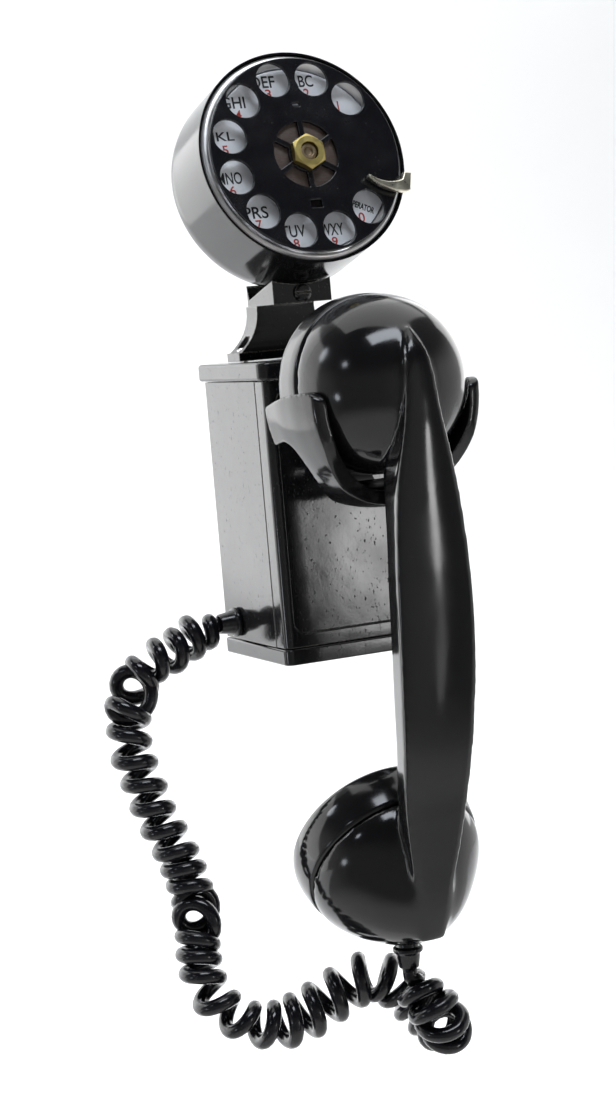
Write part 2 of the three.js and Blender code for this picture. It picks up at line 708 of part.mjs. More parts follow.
addPart(phone, 'cradle_bracket', cradleBracket(), steel);
addPart(phone, 'cradle_pin', cradlePin(), steel);
addPart(phone, 'cradle_spring', cradleSpring(), steel);
contactYs.forEach((y, i) => addPart(phone, `hook_contact_${i + 1}`, hookContact(y), bronze));
addPart(phone, 'hook_insulator', hookInsulator(), fibre);
addPart(phone, 'terminal_block', terminalBlock(), bakelite);
terminalXs.forEach((x, i) => {
  addPart(phone, `terminal_screw_${i + 1}`,
    screw(3, 1.4, 1.2, 5).rotate([90, 0, 0]).translate([x, -14 - gap, 20]), brass);
});
addPart(phone, 'cradle_fork', cradleFork(), bakelite);

// ---------- handset ----------

// Places a turned solid whose z axis points out of the receiver's or the transmitter's back.
function behindReceiver(manifold) {
  return facing(manifold, receiverY, receiverZ, receiverTilt);
}

function behindTransmitter(manifold) {
  return facing(manifold, transmitterY, transmitterZ, transmitterTilt);
}

// Front line of the handle, where its two ridges run, and half the width between them.
const ridgeLine = new THREE.CatmullRomCurve3([
  [0.8, -119, 121], [4.2, -124.6, 112], [7.4, -126.3, 90], [12, -125.2, 66], [14.6, -125, 36],
  [15, -123.6, 8], [14, -118.8, -24], [12.4, -112.8, -48], [9.6, -108.6, -68], [7, -105, -86], [5.6, -101.5, -99],
].map((p) => new THREE.Vector3(...p)), false, 'centripetal');

// Thickness of the handle behind the ridges at a height.
function handleThickness(z) {
  const upper = THREE.MathUtils.lerp(21, 29, THREE.MathUtils.smoothstep(z, 45, 95));
  return upper - 3 * (1 - THREE.MathUtils.smoothstep(z, -50, 0));
}

// Handle: a cylinder whose rings are reshaped into a flat-fronted section with a rounded back.
function handleBar() {
  const geometry = new THREE.CylinderGeometry(1, 1, 1, 20, 22);
  const positions = geometry.attributes.position;
  const vertex = new THREE.Vector3();
  for (let i = 0; i < positions.count; i += 1) {
    vertex.fromBufferAttribute(positions, i);
    const line = ridgeLine.getPointAt(THREE.MathUtils.clamp(0.5 - vertex.y, 0, 1));
    const across = vertex.x;
    const forward = vertex.z;
    const radial = Math.hypot(across, forward);
    const halfWidth = line.x;
    const thickness = handleThickness(line.z);
    const front = 1.6 * Math.min(1, halfWidth / 12);
    const depth = forward > 0.45 ? -front * (forward - 0.45) / 0.55 : (thickness * (0.45 - forward)) / 1.45;
    const taper = forward > 0.45 ? 1 : 1 - 0.12 * (0.45 - forward);
    const rounded = Math.sign(across) * Math.min(1, Math.abs(across) ** 0.8 * 1.06);
    const side = forward > 0.45 ? across / 0.893 : rounded;
    const centred = radial < 0.01;
    vertex.set(centred ? 0 : halfWidth * side * taper, line.y + (centred ? thickness / 2 : depth), line.z);
    positions.setXYZ(i, vertex.x, vertex.y, vertex.z);
  }
  return solid(geometry);
}

function handsetHandle() {
  const r = receiverRadius;
  const arc = Array.from({ length: 8 }, (_, i) => {
    const a = (i * Math.PI) / 16;
    return [r * Math.cos(a), r * Math.sin(a)];
  });
  const dome = behindReceiver(turned([[0, 0], ...arc, [0, r]]));
  const bowl = behindTransmitter(turned([[0, 0], [transmitterRadius, 0], [32.4, 4], [30.8, 8], [28.4, 12],
    [25.5, 16], [22.2, 20], [18.6, 24], [14, 28], [8, 31.5], [0, 33]]));
  const receiverRoom = behindReceiver(turned([[0, -1], [capsuleRadius + 1.6, -1], [capsuleRadius + 1.6, 9],
    [20, 15], [0, 17]], 28));
  const transmitterRoom = behindTransmitter(turned([[0, -1], [capsuleRadius + 2.6, -1],
    [capsuleRadius + 2.6, 6], [20, 13], [0, 15]], 28));
  const bar = cut(handleBar(), behindReceiver(rod(receiverRadius + 3, -30, 0)),
    behindTransmitter(rod(transmitterRadius + 3, -30, 0, 0, 0, 28)));
  const cordHole = rod(bushingRadius + gap, handsetExitZ - 20, -90, 0, handsetExitY, 20);
  return cut(join(bar, dome, bowl), receiverRoom, transmitterRoom, cordHole);
}

// Screw-on cap; its profile is a list of [radius, depth towards the face], hollow behind, with sound holes.
function soundCap(outside, inside, holeRadius, holes) {
  const body = turned([...outside, ...inside]);
  const bores = holes.map(([radius, angle]) => {
    const [x, y] = polar(radius, angle);
    return rod(holeRadius, -30, -8, x, y, 8);
  });
  return cut(body, ...bores);
}

function receiverCap() {
  const around = Array.from({ length: 6 }, (_, i) => [5.5, 60 * i]);
  return behindReceiver(soundCap(
    [[0, -14.6], [8, -14.9], [22, -16.6], [26, -17.2], [29.5, -16.8], [31.6, -15], [32.3, -12], [32.3, -4],
      [31.9, -gap]],
    [[28.4, -gap], [28.4, -11.5], [20, -13], [0, -12.6]], 1.2, [[0, 0], ...around]));
}

function transmitterCap() {
  const around = Array.from({ length: 10 }, (_, i) => [i % 2 ? 6 : 11, 36 * i]);
  return behindTransmitter(soundCap(
    [[0, -16.2], [14, -16.6], [24, -18.6], [28, -19.2], [31.5, -18.6], [34, -16.4], [35, -12], [34.8, -7],
      [33.6, -gap]],
    [[29.6, -gap], [29.6, -11], [22, -14], [0, -14.2]], 1.4, [[0, 0], ...around]));
}

function receiverCapsule() {
  return behindReceiver(turned([[0, 4], [capsuleRadius - 2, 4], [capsuleRadius, 3], [capsuleRadius, -7],
    [capsuleRadius - 3, -9], [0, -10]], 24));
}

function transmitterCapsule() {
  return behindTransmitter(turned([[0, 3], [capsuleRadius - 2, 3], [capsuleRadius, 2], [capsuleRadius, -8],
    [capsuleRadius - 4, -11], [0, -12]], 24));
}

// ---------- cord ----------

// Tapered rubber sleeve with a flange against the wall it passes through; z points out along the cord.
function cordBushing() {
  const bore = strandRadius + gap;
  return turnedRing([[bore, -3], [bushingRadius, -3], [bushingRadius, 0], [5.6, 0], [5.6, 1.6], [4.6, 2.2],
    [3.7, bushingLength], [bore, bushingLength]], 24);
}

addPart(phone, 'case_bushing',
  cordBushing().rotate([0, -90, 0]).translate([-sideX - gap, cordExitY, cordExitZ]), rubber);
addPart(phone, 'handset_bushing',
  cordBushing().rotate([180, 0, 0]).translate([0, handsetExitY, handsetExitZ]), rubber);
addPart(phone, 'handset_cord', sweptTube(cordRoute, cordDiameter / 2, 9, 64), rubber);

addPart(phone, 'handset_handle', handsetHandle(), bakelite);
addPart(phone, 'receiver_cap', receiverCap(), bakelite);
addPart(phone, 'receiver_capsule', receiverCapsule(), steel);
addPart(phone, 'transmitter_cap', transmitterCap(), bakelite);
addPart(phone, 'transmitter_capsule', transmitterCapsule(), steel);

export default phone;
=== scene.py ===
"""Looks of the wall telephone: black enamelled box, rotary dial in a cup, cradle, handset and curly cord."""

import json
import math

import bmesh
import bpy
from mathutils import Matrix, Vector

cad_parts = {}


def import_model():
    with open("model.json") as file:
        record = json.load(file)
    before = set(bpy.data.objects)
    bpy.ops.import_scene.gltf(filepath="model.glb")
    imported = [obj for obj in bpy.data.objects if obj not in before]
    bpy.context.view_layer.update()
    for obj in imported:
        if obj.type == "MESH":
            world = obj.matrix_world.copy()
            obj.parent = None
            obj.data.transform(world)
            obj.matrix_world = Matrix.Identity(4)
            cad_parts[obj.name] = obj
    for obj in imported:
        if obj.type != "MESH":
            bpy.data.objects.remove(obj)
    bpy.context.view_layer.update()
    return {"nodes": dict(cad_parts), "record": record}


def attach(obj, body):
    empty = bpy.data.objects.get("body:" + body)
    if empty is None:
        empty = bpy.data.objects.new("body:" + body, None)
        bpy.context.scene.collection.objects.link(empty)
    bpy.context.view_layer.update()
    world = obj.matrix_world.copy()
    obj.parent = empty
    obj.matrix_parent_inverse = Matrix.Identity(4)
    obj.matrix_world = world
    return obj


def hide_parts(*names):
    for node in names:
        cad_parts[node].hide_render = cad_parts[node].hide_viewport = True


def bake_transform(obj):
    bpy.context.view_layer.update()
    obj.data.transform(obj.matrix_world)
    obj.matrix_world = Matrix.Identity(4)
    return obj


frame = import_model()
NODES = frame["nodes"]

# ---------------------------------------------------------------- places
# Shapes are made in millimetres in a local frame and then set in place by one of these matrices.

MM = 0.001
CASE_HALF_HEIGHT = 52.5
DIAL_TILT = 16.0
RECEIVER_TILT = 3.3
TRANSMITTER_TILT = -35.7



def moved(x, y, z):
    return Matrix.Translation((x, y, z))


def turned(degrees, axis):
    return Matrix.Rotation(math.radians(degrees), 4, axis)


CASE = Matrix.Diagonal((MM, MM, MM, 1)) @ moved(0, 0, -CASE_HALF_HEIGHT)


def facing(y, z, tilt):
    """Frame of a forward-facing disc that looks up by tilt degrees; its z axis points out of the front."""
    return CASE @ moved(0, y, z) @ turned(90 - tilt, "X")


HEAD = facing(-49.8, 186.1, DIAL_TILT)
RECEIVER = facing(-92.5, 101.7, RECEIVER_TILT)
TRANSMITTER = facing(-75.0, -75.0, TRANSMITTER_TILT)

# ---------------------------------------------------------------- camera

CAMERA_AT = Vector((-0.3711, -0.8334, 0.0783))
CAMERA_AIM = Vector((0.0011, -0.0193, -0.0148))
CAMERA_ROLL = -4.84
LENS = 76.54

camera = bpy.data.objects.new("camera", bpy.data.cameras.new("camera"))
bpy.context.scene.collection.objects.link(camera)
camera.data.lens = LENS
camera.data.clip_start = 0.02
camera.location = CAMERA_AT
camera.rotation_mode = "QUATERNION"
aim = (CAMERA_AIM - CAMERA_AT).to_track_quat("-Z", "Y").to_matrix().to_4x4()
camera.rotation_quaternion = (aim @ turned(CAMERA_ROLL, "Z")).to_quaternion()
bpy.context.scene.camera = camera

# ---------------------------------------------------------------- mesh tools


def smoothstep(value, low, high):
    t = min(1, max(0, (value - low) / (high - low)))
    return t * t * (3 - 2 * t)


def polar(radius, degrees):
    return (radius * math.cos(math.radians(degrees)), radius * math.sin(math.radians(degrees)))


def link(name, mesh):
    made = bpy.data.objects.new(name, mesh)
    bpy.context.scene.collection.objects.link(made)
    return made


def mesh_from(name, points, faces):
    """Closed mesh with its faces turned outward."""
    mesh = bpy.data.meshes.new(name)
    mesh.from_pydata([tuple(p) for p in points], [], faces)
    mesh.validate()
    outward(mesh)
    return mesh


def outward(mesh):
    work = bmesh.new()
    work.from_mesh(mesh)
    bmesh.ops.remove_doubles(work, verts=work.verts, dist=1e-6)
    bmesh.ops.recalc_face_normals(work, faces=work.faces)
    work.to_mesh(mesh)
    work.free()


def lathe(name, profile, segments=128, closed=False):
    """Turns a profile of (radius, z) about z. A closed profile makes a ring."""
    points = []
    rings = []
    for radius, z in profile:
        if radius < 1e-6:
            rings.append([len(points)])
            points.append((0, 0, z))
            continue
        rings.append(list(range(len(points), len(points) + segments)))
        points += [(*polar(radius, 360 * i / segments), z) for i in range(segments)]
    pairs = list(zip(rings, rings[1:]))
    if closed:
        pairs.append((rings[-1], rings[0]))
    faces = []
    for a, b in pairs:
        for i in range(segments):
            j = (i + 1) % segments
            if len(a) == 1 and len(b) > 1:
                faces.append((a[0], b[i], b[j]))
            elif len(b) == 1 and len(a) > 1:
                faces.append((a[i], a[j], b[0]))
            elif len(a) > 1:
                faces.append((a[i], a[j], b[j], b[i]))
    return mesh_from(name, points, faces)


def filleted(profile, radius, steps=4, closed=False):
    """Rounds each corner of a polyline; the size of each rounding is limited by its two sides."""
    points = [Vector(p) for p in profile]
    count = len(points)
    out = []
    for i, here in enumerate(points):
        if not closed and i in (0, count - 1):
            out.append(tuple(here))
            continue
        before, after = points[i - 1], points[(i + 1) % count]
        back, ahead = before - here, after - here
        reach = min(radius, 0.42 * back.length, 0.42 * ahead.length)
        start, end = here + back.normalized() * reach, here + ahead.normalized() * reach
        for k in range(steps + 1):
            t = k / steps
            out.append(tuple(start * (1 - t) ** 2 + here * 2 * t * (1 - t) + end * t**2))
    return out


def flat_plate(name, loops, z0, z1, edge=0.15, rounds=3):
    """Plate with the outlines given, the first the outside and the rest holes, with its rims rounded."""
    curve = bpy.data.curves.new(name, "CURVE")
    curve.dimensions = "2D"
    curve.fill_mode = "BOTH"
    curve.extrude = (z1 - z0) / 2 - edge
    curve.bevel_depth = edge
    curve.bevel_resolution = rounds
    curve.offset = -edge
    for loop in loops:
        spline = curve.splines.new("POLY")
        spline.points.add(len(loop) - 1)
        spline.use_cyclic_u = True
        for point, (x, y) in zip(spline.points, loop):
            point.co = (x, y, 0, 1)
    mesh = evaluated(link(name, curve))
    mesh.transform(moved(0, 0, (z0 + z1) / 2))
    return mesh


def evaluated(made):
    """Final mesh of an object with its modifiers, and the object is removed."""
    graph = bpy.context.evaluated_depsgraph_get()
    mesh = bpy.data.meshes.new_from_object(made.evaluated_get(graph))
    mesh.name = made.name
    bpy.data.objects.remove(made)
    return mesh


def circle(radius, count, x=0.0, y=0.0):
    return [(x + dx, y + dy) for dx, dy in (polar(radius, 360 * i / count) for i in range(count))]


def joined(name, meshes):
    """Several meshes in one, without a boolean."""
    work = bmesh.new()
    for mesh in meshes:
        work.from_mesh(mesh)
    mesh = bpy.data.meshes.new(name)
    work.to_mesh(mesh)
    work.free()
    return mesh


def combined(name, mesh, tool, operation):
    """Boolean of two meshes."""
    other = link(name + "_tool", tool)
    made = link(name, mesh)
    modifier = made.modifiers.new("cut", "BOOLEAN")
    modifier.operation = operation
    modifier.solver = "EXACT"
    modifier.object = other
    result = evaluated(made)
    bpy.data.objects.remove(other)
    return result


def soften(made, passes):
    modifier = made.modifiers.new("soften", "SMOOTH")
    modifier.factor = 0.5
    modifier.iterations = passes
    return modifier


def moulded(name, mesh, voxel, passes):
    """One skin round overlapping solids, with the small fillets of a moulding."""
    made = link(name, mesh)
    remesh = made.modifiers.new("skin", "REMESH")
    remesh.mode = "VOXEL"
    remesh.voxel_size = voxel
    soften(made, passes)
    return evaluated(made)


def blended(name, mesh, weight_at, passes):
    """Larger fillets where weight_at(point) is over 0."""
    made = link(name, mesh)
    group = made.vertex_groups.new(name="blend")
    for vertex in mesh.vertices:
        weight = weight_at(vertex.co)
        if weight > 0:
            group.add([vertex.index], weight, "REPLACE")
    soften(made, passes).vertex_group = group.name
    return evaluated(made)


def bevelled(name, mesh, width, segments):
    """Mesh with its flat faces joined up and its sharp edges rounded."""
    made = link(name, mesh)
    outward(mesh)
    limited = bmesh.new()
    limited.from_mesh(mesh)
    same_face = math.radians(1)
    bmesh.ops.dissolve_limit(limited, angle_limit=same_face, verts=limited.verts, edges=limited.edges)
    limited.to_mesh(mesh)
    limited.free()
    bevel = made.modifiers.new("bevel", "BEVEL")
    bevel.width = width
    bevel.segments = segments
    bevel.limit_method = "ANGLE"
    bevel.angle_limit = math.radians(30)
    return evaluated(made)


def flat_faces_kept(name, mesh):
    """Shades large flat faces as flat, so that only their rounded edges turn the light."""
    made = link(name, mesh)
    weighted = made.modifiers.new("weighted", "WEIGHTED_NORMAL")
    weighted.keep_sharp = True
    weighted.weight = 50
    return evaluated(made)


def place(name, mesh, matrix, material, body, node_names, sharp=35, flat=False):
    """Puts a finished mesh in the row frame, on its body, in place of CAD nodes."""
    mesh.transform(matrix)
    mesh.materials.clear()
    mesh.materials.append(material)
    mesh.shade_smooth()
    mesh.set_sharp_from_angle(angle=math.radians(sharp))
    if flat:
        mesh = flat_faces_kept(name, mesh)
    made = link(name, mesh)
    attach(made, body)
    if node_names:
        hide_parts(*node_names)


def from_cad(node, width, material, body="case", segments=2, raised=0.0):
    """Copy of a CAD node with its edges rounded and its top face raised."""
    mesh = NODES[node].data.copy()
    top = max(v.co.z for v in mesh.vertices)
    for vertex in mesh.vertices:
        if vertex.co.z > top - 1e-6:
            vertex.co.z += raised * MM
    name = node + "_finished"
    mesh = bevelled(name, mesh, width * MM, segments)
    place(name, mesh, Matrix.Identity(4), material, body, [node], flat=True)


# ---------------------------------------------------------------- materials


def map_range(tree, source, low, high, out_low=0.0, out_high=1.0, interpolation="LINEAR"):
    node = tree.nodes.new("ShaderNodeMapRange")
    node.interpolation_type = interpolation
    node.inputs["From Min"].default_value = low
    node.inputs["From Max"].default_value = high
    node.inputs["To Min"].default_value = out_low
    node.inputs["To Max"].default_value = out_high
    tree.links.new(source, node.inputs["Value"])
    return node.outputs["Result"]


def operation(tree, kind, name, first, second):
    """Math or vector math node of a socket and a number or another socket."""
    node = tree.nodes.new(kind)
    node.operation = name
    tree.links.new(first, node.inputs[0])
    if isinstance(second, (int, float)):
        node.inputs[1].default_value = second
    else:
        tree.links.new(second, node.inputs[1])
    return node.outputs[0]


class Look:
    """A Principled material whose nodes read the object's own coordinates, in metres."""

    def __init__(self, name, color, roughness, metallic=0.0):
        self.material = bpy.data.materials.new(name)
        self.material.use_nodes = True
        self.tree = self.material.node_tree
        self.nodes = self.tree.nodes
        self.links = self.tree.links
        self.shader = self.nodes["Principled BSDF"]
        self.place = self.nodes.new("ShaderNodeTexCoord").outputs["Object"]
        self.color = color
        self.shader.inputs["Base Color"].default_value = (*color, 1)
        self.shader.inputs["Roughness"].default_value = roughness
        self.shader.inputs["Metallic"].default_value = metallic
        self.height = None

    def noise(self, scale, detail=3.0, stretch=None):
        node = self.nodes.new("ShaderNodeTexNoise")
        node.inputs["Scale"].default_value = scale
        node.inputs["Detail"].default_value = detail
        source = self.place
        if stretch:
            mapping = self.nodes.new("ShaderNodeMapping")
            mapping.inputs["Scale"].default_value = stretch
            self.links.new(source, mapping.inputs["Vector"])
            source = mapping.outputs["Vector"]
        self.links.new(source, node.inputs["Vector"])
        return node.outputs["Fac"]

    def ramp(self, source, low, high, out_low=0.0, out_high=1.0):
        return map_range(self.tree, source, low, high, out_low, out_high)

    def product(self, a, b):
        return operation(self.tree, "ShaderNodeMath", "MULTIPLY", a, b)

    def rough(self, scale, low, high, detail=4.0, stretch=None):
        """Roughness that wanders between low and high."""
        wander = self.ramp(self.noise(scale, detail, stretch), 0.3, 0.7, low, high)
        self.links.new(wander, self.shader.inputs["Roughness"])

    def dull(self, mask, amount):
        """Adds to the roughness where mask is 1."""
        node = self.nodes.new("ShaderNodeMath")
        node.operation = "MULTIPLY_ADD"
        node.inputs[1].default_value = amount
        before = self.shader.inputs["Roughness"]
        self.links.new(mask, node.inputs[0])
        self.links.new(before.links[0].from_socket, node.inputs[2])
        self.links.new(node.outputs[0], before)

    def tint(self, mask, color):
        """Mixes another colour in where mask is 1."""
        node = self.nodes.new("ShaderNodeMix")
        node.data_type = "RGBA"
        before = self.shader.inputs["Base Color"]
        if before.is_linked:
            self.links.new(before.links[0].from_socket, node.inputs["A"])
        else:
            node.inputs["A"].default_value = (*self.color, 1)
        node.inputs["B"].default_value = (*color, 1)
        self.links.new(mask, node.inputs["Factor"])
        self.links.new(node.outputs["Result"], before)

    def bump(self, source, distance, strength):
        """Adds a bump on top of those made before it."""
        node = self.nodes.new("ShaderNodeBump")
        node.inputs["Distance"].default_value = distance
        node.inputs["Strength"].default_value = strength
        self.links.new(source, node.inputs["Height"])
        if self.height is not None:
            self.links.new(self.height, node.inputs["Normal"])
        self.height = node.outputs["Normal"]
        self.links.new(self.height, self.shader.inputs["Normal"])

    def edges(self, radius, low, high):
        """1 close to edges, where a rounded normal differs from the true one."""
        rounded = self.nodes.new("ShaderNodeBevel")
        rounded.samples = 4
        rounded.inputs["Radius"].default_value = radius
        geometry = self.nodes.new("ShaderNodeNewGeometry")
        agree = self.nodes.new("ShaderNodeVectorMath")
        agree.operation = "DOT_PRODUCT"
        self.links.new(rounded.outputs["Normal"], agree.inputs[0])
        self.links.new(geometry.outputs["Normal"], agree.inputs[1])
        return self.ramp(agree.outputs["Value"], high, low)


def bakelite_look():
    look = Look("bakelite_black", (0.006, 0.006, 0.0065), 0.12)
    look.rough(45, 0.07, 0.17)
    look.tint(look.ramp(look.noise(900, 5), 0.66, 0.8, 0, 0.3), (0.04, 0.037, 0.034))
    look.bump(look.noise(900, 2), 0.00001, 0.25)
    look.bump(look.noise(40, 2), 0.0001, 0.2)
    return look.material


def enamel_black_look():
    look = Look("stove_enamel_black", (0.008, 0.008, 0.0085), 0.16)
    look.rough(60, 0.07, 0.15)
    look.dull(look.ramp(look.noise(1300, 4, (1, 1, 0.4)), 0.64, 0.7), 0.3)
    chips = look.product(look.noise(1500, 4), look.edges(0.0009, 0.9, 0.995))
    look.tint(look.ramp(chips, 0.42, 0.52), (0.23, 0.215, 0.19))
    look.tint(look.ramp(look.noise(700, 6), 0.7, 0.76, 0, 0.8), (0.09, 0.085, 0.075))
    look.bump(look.noise(1100, 2), 0.00002, 0.35)
    look.bump(look.noise(60, 2), 0.0002, 0.3)
    return look.material


def wheel_look():
    look = Look("wheel_enamel", (0.007, 0.007, 0.009), 0.2)
    look.rough(90, 0.12, 0.3)
    look.tint(look.ramp(look.noise(1200, 5), 0.68, 0.78, 0, 0.6), (0.07, 0.065, 0.06))
    look.bump(look.noise(1400, 2), 0.00001, 0.4)
    return look.material


def metal_look(name, color, low, high, grain=(1, 1, 1), tarnish=None):
    look = Look(name, color, 0.3, 1.0)
    look.rough(350, low, high, 5, grain)
    if tarnish:
        look.tint(look.ramp(look.noise(160, 5), 0.45, 0.75, 0, 0.8), tarnish)
    look.bump(look.noise(2500, 3, grain), 0.00001, 0.3)
    return look.material


def plate_look():
    look = Look("white_enamel", (0.86, 0.88, 0.92), 0.12)
    look.rough(80, 0.07, 0.16)
    look.tint(look.ramp(look.noise(260, 6), 0.5, 0.8, 0, 0.35), (0.56, 0.55, 0.53))
    look.bump(look.noise(120, 2), 0.00015, 0.3)
    return look.material


def fibre_look():
    look = Look("hub_fibre", (0.095, 0.066, 0.056), 0.35)
    look.rough(200, 0.28, 0.5)
    look.tint(look.ramp(look.noise(500, 5, (1, 1, 4)), 0.4, 0.75, 0, 0.7), (0.13, 0.11, 0.1))
    look.bump(look.noise(1600, 3), 0.00003, 0.5)
    return look.material


def rubber_look():
    look = Look("cord_rubber", (0.005, 0.005, 0.007), 0.16)
    look.rough(120, 0.1, 0.26)
    look.tint(look.ramp(look.noise(700, 5), 0.62, 0.8, 0, 0.5), (0.045, 0.045, 0.048))
    look.bump(look.noise(1300, 3), 0.00003, 0.4)
    look.bump(look.noise(160, 2), 0.0002, 0.35)
    return look.material


def ink_look(name, color):
    look = Look(name, color, 0.35)
    look.rough(400, 0.3, 0.5)
    faded = tuple(min(1, c * 2 + 0.12) for c in color)
    look.tint(look.ramp(look.noise(900, 4), 0.55, 0.8, 0, 0.5), faded)
    return look.material


BAKELITE = bakelite_look()
ENAMEL = enamel_black_look()
WHEEL = wheel_look()
PLATE = plate_look()
FIBRE = fibre_look()
RUBBER = rubber_look()
NICKEL = metal_look("nickel_plate", (0.86, 0.86, 0.86), 0.14, 0.3, tarnish=(0.6, 0.58, 0.55))
SATIN_NICKEL = metal_look("satin_nickel", (0.84, 0.84, 0.85), 0.3, 0.44, tarnish=(0.66, 0.64, 0.6))
STOP_METAL = metal_look("stop_metal", (0.66, 0.63, 0.52), 0.22, 0.42, tarnish=(0.4, 0.37, 0.27))
STEEL = metal_look("plain_steel", (0.42, 0.42, 0.43), 0.3, 0.5, (1, 1, 8), (0.25, 0.23, 0.21))
AGED_STEEL = metal_look("aged_steel", (0.26, 0.2, 0.13), 0.38, 0.55, tarnish=(0.16, 0.11, 0.07))
BRASS = metal_look("plain_brass", (0.54, 0.44, 0.16), 0.34, 0.5, tarnish=(0.33, 0.26, 0.1))
BRONZE = metal_look("spring_bronze", (0.5, 0.3, 0.15), 0.3, 0.45, (1, 1, 6), (0.3, 0.17, 0.09))
BLACK_INK = ink_look("letter_ink", (0.012, 0.012, 0.014))
RED_INK = ink_look("figure_ink", (0.42, 0.03, 0.02))

BY_SLOT = {
    "gloss_black": ENAMEL,
    "black_bakelite": BAKELITE,
    "steel": STEEL,
    "nickel": NICKEL,
    "brass": BRASS,
    "bronze": BRONZE,
    "enamel": PLATE,
    "fibre": FIBRE,
    "rubber": RUBBER,
}
for part in frame["record"]["subparts"]:
    shown = NODES[part["node"]].data
    shown.materials.clear()
    shown.materials.append(BY_SLOT[part["material_slot"]])

# ---------------------------------------------------------------- lines in space


def smooth_line(points, step):
    """Centripetal Catmull-Rom curve through the points, sampled about every step."""
    points = [Vector(p) for p in points]
    points = [points[0] * 2 - points[1], *points, points[-1] * 2 - points[-2]]
    out = []
    for a, b, c, d in zip(points, points[1:], points[2:], points[3:]):
        t = [0.0]
        for p, q in ((a, b), (b, c), (c, d)):
            t.append(t[-1] + max(1e-4, (q - p).length) ** 0.5)
        count = max(2, round((c - b).length / step))
        for k in range(count):
            s = t[1] + (t[2] - t[1]) * k / count
            ab = a.lerp(b, (s - t[0]) / (t[1] - t[0]))
            bc = b.lerp(c, (s - t[1]) / (t[2] - t[1]))
            cd = c.lerp(d, (s - t[2]) / (t[3] - t[2]))
            abc = ab.lerp(bc, (s - t[0]) / (t[2] - t[0]))
            bcd = bc.lerp(cd, (s - t[1]) / (t[3] - t[1]))
            out.append(abc.lerp(bcd, (s - t[1]) / (t[2] - t[1])))
    out.append(points[-2])
    return out


def frames_along(line):
    """Tangent and two normals at each point that don't twist round the line."""
    tangents = []
    for i in range(len(line)):
        tangents.append((line[min(i + 1, len(line) - 1)] - line[max(i - 1, 0)]).normalized())
    normal = tangents[0].cross(Vector((0, 0, 1))).normalized()
    out = []
    for tangent in tangents:
        normal = (normal - tangent * normal.dot(tangent)).normalized()
        out.append((tangent, normal, tangent.cross(normal)))
    return out


def skin(name, points, sides):
    """Closed mesh over rings of points, each ring with that many sides."""
    rings = len(points) // sides
    faces = []
    for k in range(rings - 1):
        for i in range(sides):
            j = (i + 1) % sides
            faces.append((k * sides + i, k * sides + j, (k + 1) * sides + j, (k + 1) * sides + i))
    faces.append(tuple(range(sides)))
    faces.append(tuple(range(len(points) - sides, len(points))))
    return mesh_from(name, points, faces)


def tube(name, line, radius, sides):
    points = []
    for place_at, (_, normal, other) in zip(line, frames_along(line)):
        for i in range(sides):
            x, y = polar(radius, 360 * i / sides)
            points.append(place_at + normal * x + other * y)
    return skin(name, points, sides)


# ---------------------------------------------------------------- curly cord

STRAND = 5.6
COIL_OUTSIDE = 17.5
STRAIGHT_LEAD = 5.0
CORD_EXIT = Vector((-35.5, -12, 13))
HANDSET_SOCKET = Vector((0, -80, -105.5))
WALK = 0.25  # step along the route
RING_SPACING = 1.3  # least distance between two rings of the strand

# The middle of the coil from the case to the handset, in mm.
CORD_ROUTE = [
    (-36.6, -12, 13), (-41, -12, 12.5), (-47, -12.8, 10), (-53, -13.8, 6.8), (-60, -15, 4.5), (-68, -16, 1),
    (-74.5, -17.5, -6), (-78, -19, -17), (-79, -21, -27), (-77, -23, -37), (-75, -25.5, -47), (-72, -28, -57),
    (-68, -31, -68), (-65.5, -34, -80), (-65, -37, -92), (-67, -40.5, -104), (-66.5, -44, -115),
    (-61.5, -47.5, -124.5), (-52.5, -50.5, -131), (-41, -53, -133), (-30, -55, -130), (-20, -57, -125),
    (-9, -58.5, -120.5), (1, -59.5, -123), (8.5, -63, -130.5), (13, -71, -138), (12.5, -81, -139.5),
    (7, -87, -131), (2.5, -84.5, -124), (0.3, -80.8, -118.8), (0, -80, -114.3),
]

# Turns that lie open towards the front: (distance along the cord, length, how far forward), in mm.
OPEN_LOOPS = [(46, 5, 7), (133, 5, 7)]
OPEN_LOOP_WIDENING = 0.22
FACING = Vector((0.41, 0.9, -0.1)).normalized()

# Length of cord taken by a turn: (distance along the cord, pitch), in mm.
PITCHES = [
    (0, 7.5), (36, 9.4), (43, 6.8), (49, 6.8), (56, 9.6), (105, 9), (114, 6.4), (124, 7.5), (130, 6.6),
    (136, 6.6), (142, 6.4), (150, 6.2), (158, 11.5), (176, 11.5), (188, 9), (203, 9), (215, 10), (240, 9.5),
    (255, 8.2), (270, 8.2), (285, 7.0), (305, 6.6), (330, 7.4), (400, 7.4),
]

# The tired last stretch has wider turns: (from, full by, until, back by) in mm, and by what share.
WIDE_STRETCH = (180, 200, 285, 300)
WIDENING = 0.28


def coil_pitch(at):
    """Length of cord taken by a turn at a distance along the cord."""
    for (a, low), (b, high) in zip(PITCHES, PITCHES[1:]):
        if at <= b:
            return low + (high - low) * smoothstep(at, a, b)
    return PITCHES[-1][1]


def coil_radius(at, total, open_loop):
    """Radius of the turns: 0 at both ends, a little uneven between them, and wider where a loop lies open."""
    full = (COIL_OUTSIDE - STRAND) / 2
    ends = min(1, max(0, at - 1.0) / STRAIGHT_LEAD, max(0, total - at - 3.0) / STRAIGHT_LEAD)
    radius = full * ends * ends * (3 - 2 * ends)
    wander = 1 + 0.05 * math.sin(0.13 * at) + 0.04 * math.sin(0.31 * at + 1)
    start, wide_from, wide_to, end = WIDE_STRETCH
    wider = WIDENING * smoothstep(at, start, wide_from) * (1 - smoothstep(at, wide_to, end))
    return min(full, radius * wander) * (1 + max(wider, OPEN_LOOP_WIDENING * open_loop))


